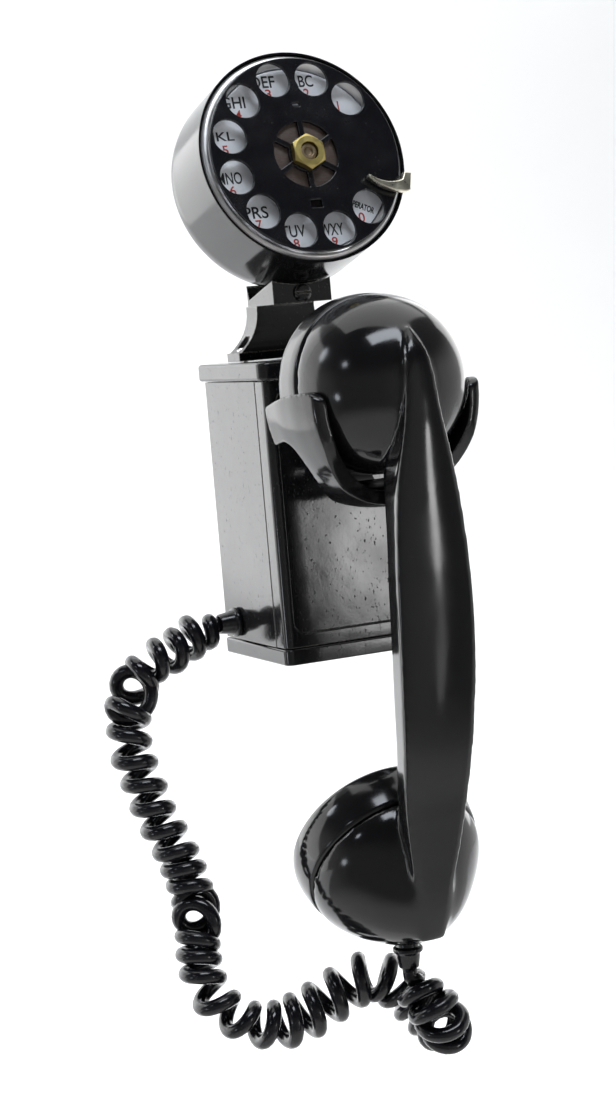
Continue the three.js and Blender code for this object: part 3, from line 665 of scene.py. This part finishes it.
def coiled_line():
    """The strand's own line: turns about the cord's route, from the case to the handset."""
    centre = smooth_line(CORD_ROUTE, 0.5)
    frames = frames_along(centre)
    lengths = [0.0]
    for a, b in zip(centre, centre[1:]):
        lengths.append(lengths[-1] + (b - a).length)
    total = lengths[-1]
    line = [CORD_EXIT]
    angle = 0.6
    at = 0.0
    index = 0
    while at < total:
        while index < len(lengths) - 2 and lengths[index + 1] < at:
            index += 1
        share = (at - lengths[index]) / max(1e-6, lengths[index + 1] - lengths[index])
        middle = centre[index].lerp(centre[index + 1], share)
        tangent, normal, _ = frames[index]
        open_loop = 0.0
        for loop_at, spread, advance in OPEN_LOOPS:
            off = (at - loop_at) / spread
            open_loop = max(open_loop, math.exp(-(off**4)))
            middle = middle - FACING * advance * off * math.exp(-(off**2))
        forward = FACING if tangent.dot(FACING) > 0 else -FACING
        axis = tangent.lerp(forward, open_loop).normalized()
        normal = (normal - axis * normal.dot(axis)).normalized()
        other = axis.cross(normal)
        radius = coil_radius(at, total, open_loop)
        line.append(middle + normal * radius * math.cos(angle) + other * radius * math.sin(angle))
        angle -= 2 * math.pi * WALK / coil_pitch(at)
        at += WALK
    line.append(centre[-1])
    line.append(centre[-1] + Vector((0, 0, 1.5)))
    return line


def curly_cord():
    line = coiled_line()
    even = [line[0]]
    for p in line[1:]:
        if (p - even[-1]).length > RING_SPACING:
            even.append(p)
    even[-1] = line[-1]
    mesh = tube("handset_cord_strand", even, STRAND / 2, 14)
    mesh.transform(CASE)
    mesh.materials.append(RUBBER)
    mesh.shade_smooth()
    made = link("handset_cord_strand", mesh)
    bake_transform(made)
    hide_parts("handset_cord")


curly_cord()

# ---------------------------------------------------------------- box


def front_rounded(half_width, front, radius, steps=10):
    """Outline in x, y of a block against the wall with its two front corners rounded."""
    points = [(half_width, 0), (-half_width, 0)]
    for centre_x, start in ((-half_width + radius, 180), (half_width - radius, 270)):
        for i in range(steps + 1):
            x, y = polar(radius, start + 90 * i / steps)
            points.append((centre_x + x, front + radius + y))
    return points


def make_box():
    from_cad("case_shell", 0.5, ENAMEL)
    from_cad("front_cover", 0.9, ENAMEL, segments=3)
    from_cad("back_plate", 0.3, STEEL)
    lid = flat_plate("lid", [front_rounded(29.7, -58.2, 4)], 105.3, 111.8, 1.1, 4)
    place("lid", lid, CASE, ENAMEL, "case", ["top_cap"], flat=True)
    foot = flat_plate("foot", [front_rounded(27.9, -56.4, 3.2)], 0, 6, 0.8, 4)
    place("foot", foot, CASE, ENAMEL, "case", ["bottom_cap"], flat=True)
    from_cad("case_screw", 0.15, NICKEL)


# ---------------------------------------------------------------- neck

# The pedestal is raised by this much, so that no light shows through the gap of 0.3 mm under the bracket.
SEAM = 0.29


def make_neck():
    from_cad("neck_pedestal", 0.15, ENAMEL, raised=SEAM)
    from_cad("cup_bracket", 0.15, ENAMEL)
    from_cad("bracket_screw", 0.3, ENAMEL)
    for side in ("left", "right"):
        from_cad("neck_screw_" + side, 0.15, NICKEL)


# ---------------------------------------------------------------- dial

HOLE_CENTRES = [polar(30, 44 + 30 * i) for i in range(10)]
CUP_RADIUS = 40.9
WHEEL_RADIUS = 37.5
FINGER_HOLE_RADIUS = 6.55
SPOKES = 6
STOP_TURN = -16


def make_cup():
    outside = [(0, -39), (35.6, -39), (39.8, -36.8), (CUP_RADIUS, -32), (CUP_RADIUS, -3)]
    inside = [(40.2, -3), (40.2, -5.2), (38.9, -5.2), (38.9, -9.3), (31.5, -9.3), (31.5, -11), (38.9, -12.5),
              (38.9, -35), (36, -37), (0, -37)]
    profile = [(0, -39), *filleted(outside, 3.2, 6)[1:], *filleted(inside, 0.4, 2)]
    place("dial_housing", lathe("dial_housing", profile, 192), HEAD, BAKELITE, "case", ["dial_cup"],
          sharp=50)
    ring = filleted([(35.4, -7.2), (38.5, -7.2), (38.5, -4.9), (39.9, -4.9), (39.9, -3.9), (38.6, -2.9),
                     (37.4, -2.8), (35.4, -5)], 0.4, 3, True)
    place("bezel", lathe("bezel", ring, 160, True), HEAD, SATIN_NICKEL, "case", ["bezel_ring"])
    plate = filleted([(21, -6.6), (35, -6.6), (35, -5.2), (21, -5.2)], 0.4, 3, True)
    plate = lathe("figure_plate", plate, 128, True)
    place("figure_plate", plate, HEAD, PLATE, "case", ["number_plate"])


def hub_window(start):
    """Window of the wheel's hub, from the angle of one spoke to the next; a spoke is 2 mm wide."""
    points = []
    for radius, order in ((12.7, 1), (6.8, -1)):
        inset = math.degrees(math.asin(1 / radius))
        angles = [start + inset + (360 / SPOKES - 2 * inset) * i / 12 for i in range(13)][::order]
        points += [polar(radius, a) for a in angles]
    return [tuple(p) for p in filleted(points, 0.8, 3, True)]


def small_slot(half_length, half_width, y):
    """Slot in the wheel above or below its hub."""
    corners = [(-half_length, y - half_width), (half_length, y - half_width),
               (half_length, y + half_width), (-half_length, y + half_width)]
    return filleted(corners, 0.35, 3, True)


def make_wheel():
    loops = [circle(WHEEL_RADIUS, 180)]
    loops += [circle(FINGER_HOLE_RADIUS, 48, x, y) for x, y in HOLE_CENTRES]
    loops += [hub_window(60 * i + 30) for i in range(SPOKES)]
    loops += [small_slot(1.5, 0.75, 19.2), small_slot(2.3, 1.5, -19.2), circle(3.5, 32)]
    wheel = flat_plate("dial_disc", loops, -1.6, 0, 0.3, 3)
    place("dial_disc", wheel, HEAD, WHEEL, "dial_wheel", ["finger_wheel"], flat=True)
    disc = filleted([(3.5, -2.7), (14, -2.7), (14, -1.9), (3.5, -1.9)], 0.2, 3, True)
    disc = lathe("hub_backing", disc, 96, True)
    place("hub_backing", disc, HEAD, FIBRE, "dial_wheel", ["hub_disc"])
    from_cad("hub_nut", 0.25, BRASS, "dial_wheel")
    shaft = [(0, -26), (2, -26), (2, -20.8), (3.2, -20.8), (3.2, 2.4), (1.8, 2.4), (1.3, 1.6), (0, 1.6)]
    shaft = lathe("spindle", filleted(shaft, 0.3, 3), 64)
    place("spindle", shaft, HEAD, AGED_STEEL, "dial_wheel", ["dial_shaft"])


def arc_points(start, control, end, steps=12):
    """Curve from start to end that leaves and arrives pointing at control."""
    out = []
    for i in range(steps + 1):
        t = i / steps
        near, bent, far = (1 - t) ** 2, 2 * t * (1 - t), t * t
        out.append(tuple(near * a + bent * b + far * c for a, b, c in zip(start, control, end)))
    return out


def make_stop():
    outline = arc_points((24, -3.7), (31.5, -6.6), (37.4, -2.6)) + [(37.9, 0.3), (40.9, 0.6), (41, -6.2)]
    outline += arc_points((39.8, -7), (31.5, -9.2), (23.8, -4.8))
    arm = flat_plate("stop_arm", [outline], 0.7, 3.4, 0.5, 4)
    leg = flat_plate("stop_leg", [[(38.1, -5.6), (40.6, -5.6), (40.6, 0.2), (38.1, 0.2)]], -2.5, 2.4, 0.3, 2)
    stop = joined("stop", [arm, leg])
    stop.transform(turned(STOP_TURN, "Z"))
    place("dial_stop", stop, HEAD, STOP_METAL, "case", ["finger_stop"])


# ---------------------------------------------------------------- figures on the dial

LETTERS = ["", "ABC", "DEF", "GHI", "JKL", "MNO", "PRS", "TUV", "WXY", "OPERATOR"]
LAST_HOLE = len(LETTERS) - 1
FIGURES_Z = -5.2


def text_mesh(text, width, height, x, y, turn=0.0, weight=0.12):
    """Flat lettering of a given size about a point on the dial's plate."""
    curve = bpy.data.curves.new("figures", "FONT")
    curve.body = text
    curve.size = 10
    curve.extrude = 0.02
    curve.offset = weight
    mesh = evaluated(link("figures", curve))
    xs = [v.co.x for v in mesh.vertices]
    ys = [v.co.y for v in mesh.vertices]
    middle = Vector((-(min(xs) + max(xs)) / 2, -(min(ys) + max(ys)) / 2, 0))
    scale = Matrix.Diagonal((width / (max(xs) - min(xs)), height / (max(ys) - min(ys)), 1, 1))
    mesh.transform(moved(x, y, FIGURES_Z + 0.03) @ turned(turn, "Z") @ scale @ Matrix.Translation(middle))
    return mesh


def make_figures():
    letters, numbers = [], []
    for i, (x, y) in enumerate(HOLE_CENTRES):
        figure = str((i + 1) % 10)
        if i == 0:
            numbers.append(text_mesh(figure, 0.5, 3.9, x - 2.0, y - 1.0))
        elif i == LAST_HOLE:
            letters.append(text_mesh(LETTERS[i], 10.6, 2.6, x - 0.4, y + 1.9, -24, 0.32))
            numbers.append(text_mesh(figure, 2.5, 3.8, x - 1.2, y - 2.4))
        else:
            left = 1.8 if i < 4 else 0.8
            letters.append(text_mesh(LETTERS[i], 9.6, 4.6, x - left, y + 1.3))
            numbers.append(text_mesh(figure, 2.3, 3.6, x - 0.5, y - 3.4))
    place("dial_letters", joined("dial_letters", letters), HEAD, BLACK_INK, "case", [])
    place("dial_figures", joined("dial_figures", numbers), HEAD, RED_INK, "case", [])


# ---------------------------------------------------------------- cradle

CRADLE_MIDDLE = moved(0, 0, 97.4)
CRADLE_PIN = moved(0, -30, 78) @ turned(90, "Y")
BOWL_HEIGHTENED = 1.12
OPENING_RADIUS = 28
OPENING_HALF_HEIGHT = 33.6
SEAT_RADIUS = 32.7


def side_solid(name, outline, half_width):
    """Outline in y, z carried across x."""
    mesh = flat_plate(name, [outline], -half_width, half_width, 0.01, 0)
    across = Matrix(((0, 0, 1, 0), (1, 0, 0, 0), (0, 1, 0, 0), (0, 0, 0, 1)))
    mesh.transform(across)
    return mesh


def at_receiver(mesh):
    """Sets a mesh made in the receiver's frame in the case's frame."""
    mesh.transform(CASE.inverted() @ RECEIVER)
    return mesh


def at_transmitter(mesh):
    mesh.transform(CASE.inverted() @ TRANSMITTER)
    return mesh


def forward_lathe(name, profile, stretch):
    """Turned about the line straight out of the cradle's middle, and stretched in height."""
    mesh = lathe(name, profile, 160)
    mesh.transform(CRADLE_MIDDLE @ Matrix.Diagonal((1, 1, stretch, 1)) @ turned(90, "X"))
    return mesh


def cradle_band():
    """The pair of arms: a bowl cut to their side outline, with room for the receiver and open in front."""
    profile = [(0, 71), (35.6, 71), (35.9, 85), (35.2, 95), (33.8, 103), (32.8, 107), (31.8, 108.2),
               (30.2, 108.6), (0, 108.6)]
    bowl = forward_lathe("bowl", filleted(profile, 3, 3), BOWL_HEIGHTENED)
    profile = [(0, 86), (OPENING_RADIUS, 88), (OPENING_RADIUS, 120), (0, 120)]
    opening = forward_lathe("opening", profile, OPENING_HALF_HEIGHT / OPENING_RADIUS)
    outline = [(-98.8, 55), (-78, 55), (-77.5, 61)]
    outline += arc_points((-77.5, 61), (-88.5, 65.5), (-90.5, 74))[1:]
    outline += arc_points((-90.5, 74), (-90.5, 83.5), (-82, 84))[1:]
    outline += [(-73.5, 82.5), (-72, 96)]
    outline += arc_points((-72, 96), (-90, 101.5), (-104, 101))[1:]
    outline += arc_points((-104, 101), (-109, 100.5), (-110, 93))[1:]
    outline += arc_points((-110, 93), (-108, 78), (-99.6, 66))[1:]
    band = combined("band", bowl, side_solid("band_side", outline, 50), "INTERSECT")
    pocket = [(0, -30), (SEAT_RADIUS, -30), (SEAT_RADIUS, -2), (SEAT_RADIUS - 0.4, 2), (SEAT_RADIUS - 1.1, 6),
              (SEAT_RADIUS - 2.2, 10), (SEAT_RADIUS - 3.4, 13.4), (SEAT_RADIUS - 5.2, 17), (0, 17.5)]
    pocket = at_receiver(lathe("pocket", filleted(pocket, 2, 3), 160))
    band = combined("band", band, pocket, "DIFFERENCE")
    return combined("band", band, opening, "DIFFERENCE")


def cradle_tang():
    """Bent tang that carries the arms on the pin inside the box."""
    outline = [(-84, 60.4), (-77, 60.6)]
    outline += arc_points((-77, 60.6), (-70, 62), (-67, 70))[1:]
    outline += arc_points((-67, 70), (-65, 76.5), (-58, 76.5))[1:]
    outline += [(-30, 76.5), (-30, 79.5), (-58, 79.5)]
    outline += arc_points((-58, 79.5), (-67, 79.5), (-69.6, 71))[1:]
    outline += arc_points((-69.6, 71), (-72, 64.4), (-77, 63.6))[1:]
    outline.append((-84, 63.6))
    return side_solid("tang", outline, 6)


def round_bar(name, radius, half_length, segments):
    """Bar along the cradle's pin."""
    profile = [(0, -half_length), (radius, -half_length), (radius, half_length), (0, half_length)]
    mesh = lathe(name, profile, segments)
    mesh.transform(CRADLE_PIN)
    return mesh


def make_cradle():
    tail = flat_plate("tail", [[(-3, -31.5), (3, -31.5), (3, -28.5), (-3, -28.5)]], 62, 78, 0.1, 0)
    solids = [cradle_band(), cradle_tang(), round_bar("boss", 4.2, 6, 48), tail]
    fork = moulded("fork", joined("fork", solids), 0.5, 5)
    fork = combined("fork", fork, round_bar("bore", 1.8, 10, 32), "DIFFERENCE")
    place("cradle_moulding", fork, CASE, BAKELITE, "cradle", ["cradle_fork"])


# ---------------------------------------------------------------- handset

# Front line of the handle and half the width between its ridges: (half width, y, z).
RIDGE = [
    (0.8, -119, 121), (4.2, -124.6, 112), (7.4, -126.3, 90), (12, -125.2, 66), (14.6, -125, 36),
    (15, -123.6, 8), (14, -118.8, -24), (12.4, -112.8, -48), (9.6, -108.6, -68), (7, -105, -86),
    (5.6, -101.5, -99),
]
BAR_SIDES = 72
RIDGE_AT = 0.45  # how far forward the ridges lie on the section's circle of radius 1
RIDGE_ACROSS = 0.893  # how far apart they are on it
FLANK_TAPER = 0.2
SOCKET_RADIUS = 4.3
BLEND_PASSES = 60
TO_TRANSMITTER = TRANSMITTER.inverted() @ CASE
TO_RECEIVER = RECEIVER.inverted() @ CASE


def handle_bar():
    """Flat-fronted section with a rounded back, carried down the ridge line."""
    points = []
    for half_width, y, z in smooth_line(RIDGE, 1.5):
        thickness = 21 + 8 * smoothstep(z, 45, 95) - 3 * (1 - smoothstep(z, -50, 0))
        crown = 1.6 * min(1, half_width / 12)
        for i in range(BAR_SIDES):
            forward, across = polar(1, 360 * i / BAR_SIDES)
            if forward > RIDGE_AT:
                front = crown * (forward - RIDGE_AT) / (1 - RIDGE_AT)
                points.append((half_width * across / RIDGE_ACROSS, y - front, z))
            else:
                rounded = math.copysign(min(1, abs(across) ** 0.8 * 1.06), across)
                taper = 1 - FLANK_TAPER * (RIDGE_AT - forward)
                back = thickness * (RIDGE_AT - forward) / (1 + RIDGE_AT)
                points.append((half_width * rounded * taper, y + back, z))
    return skin("bar", points, BAR_SIDES)


def blend_weight(at):
    """Where the handle runs into the transmitter's bowl and the receiver's dome, away from their rims."""
    low = smoothstep(-at.z, 64, 84) * smoothstep((TO_TRANSMITTER @ at).z, 3, 9)
    high = smoothstep(at.z, 70, 84) * smoothstep((TO_RECEIVER @ at).z, 3, 9) * smoothstep(-at.y, 112, 104)
    return max(low, 0.5 * high)


def make_handle():
    room = at_receiver(lathe("room", [(0, -30), (34.6, -30), (34.6, 0), (0, 0)], 96))
    bar = combined("bar", handle_bar(), room, "DIFFERENCE")
    room = at_transmitter(lathe("room", [(0, -30), (36.1, -30), (36.1, 0), (0, 0)], 96))
    bar = combined("bar", bar, room, "DIFFERENCE")
    arc = [polar(31.6, 90 * i / 32) for i in range(32)]
    dome = at_receiver(lathe("dome", [(0, 0), *arc, (0, 31.6)], 160))
    profile = [(33.1, 0), (32.4, 4), (30.8, 8), (28.4, 12), (25.5, 16), (22.2, 20), (18.6, 24), (14, 28),
               (8, 31.5), (0, 33)]
    bowl = at_transmitter(lathe("bowl", [(0, 0), *filleted(profile, 3, 4)], 160))
    handle = moulded("handle", joined("handle", [bar, dome, bowl]), 0.75, 12)
    handle = blended("handle", handle, blend_weight, BLEND_PASSES)
    profile = [(0, -120), (SOCKET_RADIUS, -120), (SOCKET_RADIUS, -96), (0, -96)]
    socket = lathe("socket", profile, 48)
    socket.transform(moved(0, HANDSET_SOCKET.y, 0))
    handle = combined("handle", handle, socket, "DIFFERENCE")
    place("handle_moulding", handle, CASE, BAKELITE, "handset", ["handset_handle"])


def sound_cap(name, profile, hole_radius, holes):
    """Screwed cap with sound holes at the places given as (radius, angle)."""
    body = lathe(name, filleted(profile, 2.2, 5, True), 160)
    drills = []
    for radius, angle in holes:
        drill = lathe("drill", [(0, -30), (hole_radius, -30), (hole_radius, -8), (0, -8)], 24)
        drill.transform(moved(*polar(radius, angle), 0))
        drills.append(drill)
    return combined(name, body, joined("drills", drills), "DIFFERENCE")


def make_caps():
    profile = [(0, -14.6), (8, -14.9), (22, -16.6), (26, -17.2), (29.5, -16.8), (31.6, -15), (32.3, -12),
               (32.3, -4), (31.9, -0.3), (28.4, -0.3), (28.4, -11.5), (20, -13), (0, -12.6)]
    ear = sound_cap("ear_cap", profile, 1.2, [(0, 0)] + [(5.5, 60 * i) for i in range(6)])
    place("ear_cap", ear, RECEIVER, BAKELITE, "handset", ["receiver_cap"])
    profile = [(0, -16.2), (14, -16.6), (24, -18.6), (28, -19.2), (31.5, -18.6), (34, -16.4), (35, -12),
               (34.8, -7), (33.6, -0.3), (29.6, -0.3), (29.6, -11), (22, -14), (0, -14.2)]
    mouth = sound_cap("mouth_cap", profile, 1.4, [(0, 0)] + [(6 if i % 2 else 11, 36 * i) for i in range(10)])
    place("mouth_cap", mouth, TRANSMITTER, BAKELITE, "handset", ["transmitter_cap"])


def make_bushings():
    profile = [(3.1, -3), (4, -3), (4, 0), (5.6, 0), (5.6, 1.6), (4.6, 2.2), (3.7, 7.7), (3.1, 7.7)]
    out_of_case = moved(-27.8, CORD_EXIT.y, CORD_EXIT.z) @ turned(-90, "Y")
    out_of_handset = Matrix.Translation(HANDSET_SOCKET) @ turned(180, "X")
    for name, where, body, node in (("case_grommet", out_of_case, "case", "case_bushing"),
                                    ("handset_grommet", out_of_handset, "handset", "handset_bushing")):
        mesh = lathe(name, filleted(profile, 0.5, 3, True), 64, True)
        place(name, mesh, CASE @ where, RUBBER, body, [node])


make_box()
make_neck()
make_cup()
make_wheel()
make_stop()
make_figures()
make_cradle()
make_handle()
make_caps()
make_bushings()

# ---------------------------------------------------------------- stage and lights

ROOM_CENTRE = Vector((0, -0.09, 0.03))
FLOOR_Z = -0.45
BACKDROP_Y = 1.6
BACKDROP_TOP = 3.2
SWEEP = 0.8
SWEEP_STEPS = 12
STAGE_HALF_WIDTH = 1.6
FLOOR_SPLIT_Y = 0.15
ROUND_BELOW = 0.21  # lamps narrower than this are round
BLUISH = (0.86, 0.92, 1.0)
SEEN_WORLD = (0.93, 0.93, 0.93, 1)


def paper_look():
    look = Look("pale_paper", (0.86, 0.865, 0.87), 0.85)
    look.tint(look.ramp(look.noise(3, 3), 0.35, 0.7, 0, 0.5), (0.9, 0.9, 0.9))
    look.bump(look.noise(400, 3), 0.0002, 0.2)
    return look.material


def stage_sheet(name, profile, material):
    """Sheet of a profile in y, z, wide in x."""
    points = [(x, y, z) for y, z in profile for x in (-STAGE_HALF_WIDTH, STAGE_HALF_WIDTH)]
    faces = [(2 * i, 2 * i + 1, 2 * i + 3, 2 * i + 2) for i in range(len(profile) - 1)]
    mesh = bpy.data.meshes.new(name)
    mesh.from_pydata(points, [], faces)
    mesh.shade_smooth()
    mesh.materials.append(material)
    made = link(name, mesh)
    return made


def backdrop():
    """Floor that sweeps up into a wall far behind the object; reflections don't see its front part."""
    paper = paper_look()
    front = stage_sheet("front_floor", [(-STAGE_HALF_WIDTH, FLOOR_Z), (FLOOR_SPLIT_Y, FLOOR_Z)], paper)
    front.visible_glossy = False
    profile = [(FLOOR_SPLIT_Y, FLOOR_Z), (BACKDROP_Y - SWEEP, FLOOR_Z)]
    for i in range(1, SWEEP_STEPS + 1):
        across, up = polar(SWEEP, 90 * i / SWEEP_STEPS - 90)
        profile.append((BACKDROP_Y - SWEEP + across, FLOOR_Z + SWEEP + up))
    profile.append((BACKDROP_Y, BACKDROP_TOP))
    stage_sheet("backdrop", profile, paper)


def softbox(name, at, target, width, height, power, color=(1, 1, 1)):
    """Area lamp at a place, turned to its target."""
    lamp = bpy.data.lights.new(name, "AREA")
    lamp.shape = "ELLIPSE" if width < ROUND_BELOW else "RECTANGLE"
    lamp.size = width
    lamp.size_y = height
    lamp.energy = power
    lamp.color = color
    made = link(name, lamp)
    made.location = at
    made.rotation_mode = "QUATERNION"
    made.rotation_quaternion = (Vector(target) - Vector(at)).to_track_quat("-Z", "Y")
    return made


def away(azimuth, elevation, distance):
    """Point at a distance from the handset; azimuth 0 is straight out from the wall, 90 to the right."""
    a, e = math.radians(azimuth), math.radians(elevation)
    direction = Vector((math.sin(a) * math.cos(e), -math.cos(a) * math.cos(e), math.sin(e)))
    return direction * distance + ROOM_CENTRE


def panel(name, azimuth, elevation, distance, width, height, radiance, color=(1, 1, 1)):
    """Lamp that faces the handset and looks equally bright from there at any distance."""
    filled = math.pi / 4 if width < ROUND_BELOW else 1
    power = math.pi * width * height * filled * radiance
    softbox(name, away(azimuth, elevation, distance), ROOM_CENTRE, width, height, power, color)


# Brightness of the room: (share of a turn from straight behind by way of the left side, level).
ROOM_LEVELS = [
    (0.0, 1.0), (0.1, 1.0), (0.2, 0.5), (0.3, 0.18), (0.42, 0.2), (0.49, 0.28), (0.56, 0.36), (0.58, 0.2),
    (0.6, 0.12), (0.64, 0.14), (0.68, 0.9), (0.75, 0.9), (0.86, 1.0), (1.0, 1.0),
]


def world():
    """Pale room beside and behind the object, darker in front and overhead, and plain where it is seen."""
    made = bpy.data.worlds.new("room")
    bpy.context.scene.world = made
    made.use_nodes = True
    tree = made.node_tree
    nodes, links = tree.nodes, tree.links
    split = nodes.new("ShaderNodeSeparateXYZ")
    links.new(nodes.new("ShaderNodeTexCoord").outputs["Generated"], split.inputs[0])
    flipped = operation(tree, "ShaderNodeMath", "MULTIPLY", split.outputs["Y"], -1)
    azimuth = operation(tree, "ShaderNodeMath", "ARCTAN2", split.outputs["X"], flipped)
    share = map_range(tree, azimuth, -math.pi, math.pi)
    levels = nodes.new("ShaderNodeValToRGB")
    ramp = levels.color_ramp
    ramp.interpolation = "EASE"
    while len(ramp.elements) < len(ROOM_LEVELS):
        ramp.elements.new(0.5)
    for element, (at, level) in zip(ramp.elements, ROOM_LEVELS):
        element.position = at
        element.color = (level, level, level, 1)
    links.new(share, levels.inputs["Fac"])
    ceiling = map_range(tree, split.outputs["Z"], 0.1, 0.5, 1, 0.16, "SMOOTHSTEP")
    walls = operation(tree, "ShaderNodeVectorMath", "MULTIPLY", levels.outputs["Color"], ceiling)
    floor_glow = map_range(tree, split.outputs["Z"], -0.3, -0.72, 0, 0.85, "SMOOTHSTEP")
    lit = operation(tree, "ShaderNodeVectorMath", "MAXIMUM", walls, floor_glow)
    pale = nodes.new("ShaderNodeMix")
    pale.data_type = "RGBA"
    pale.inputs["B"].default_value = SEEN_WORLD
    links.new(nodes.new("ShaderNodeLightPath").outputs["Is Camera Ray"], pale.inputs["Factor"])
    links.new(lit, pale.inputs["A"])
    links.new(pale.outputs["Result"], nodes["Background"].inputs["Color"])


backdrop()
world()
panel("overhead_key", 1, 63, 1.6, 1.1, 0.42, 9, BLUISH)
panel("left_back_wall", -142, 4, 1.5, 1.8, 2.2, 1.9)
panel("right_window", 27.6, -6, 1.4, 0.11, 0.27, 10)
panel("window_glow", 27.6, -22, 0.85, 0.067, 0.26, 1.3)
panel("right_back_wall", 126, 12, 1.6, 1.0, 1.1, 2.2)
panel("lamp_left_high", -111, 33, 1.5, 0.2, 0.36, 7, BLUISH)
panel("lamp_left", -70, 27, 1.5, 0.17, 0.17, 8, BLUISH)
panel("lamp_left_low", -81, -10, 1.3, 0.17, 0.17, 7, BLUISH)
panel("backdrop_wash", 150, 70, 2.0, 2.4, 2.4, 1.6)
for wash in (softbox("floor_wash", (-0.9, 1.0, 0.9), (-0.9, 0.5, FLOOR_Z), 0.8, 0.8, 18),
             softbox("wall_wash", (0.5, 0.3, 1.9), (0.5, 1.6, 0.3), 2.4, 0.8, 26)):
    wash.visible_glossy = False
bpy.context.scene.view_settings.view_transform = "Standard"
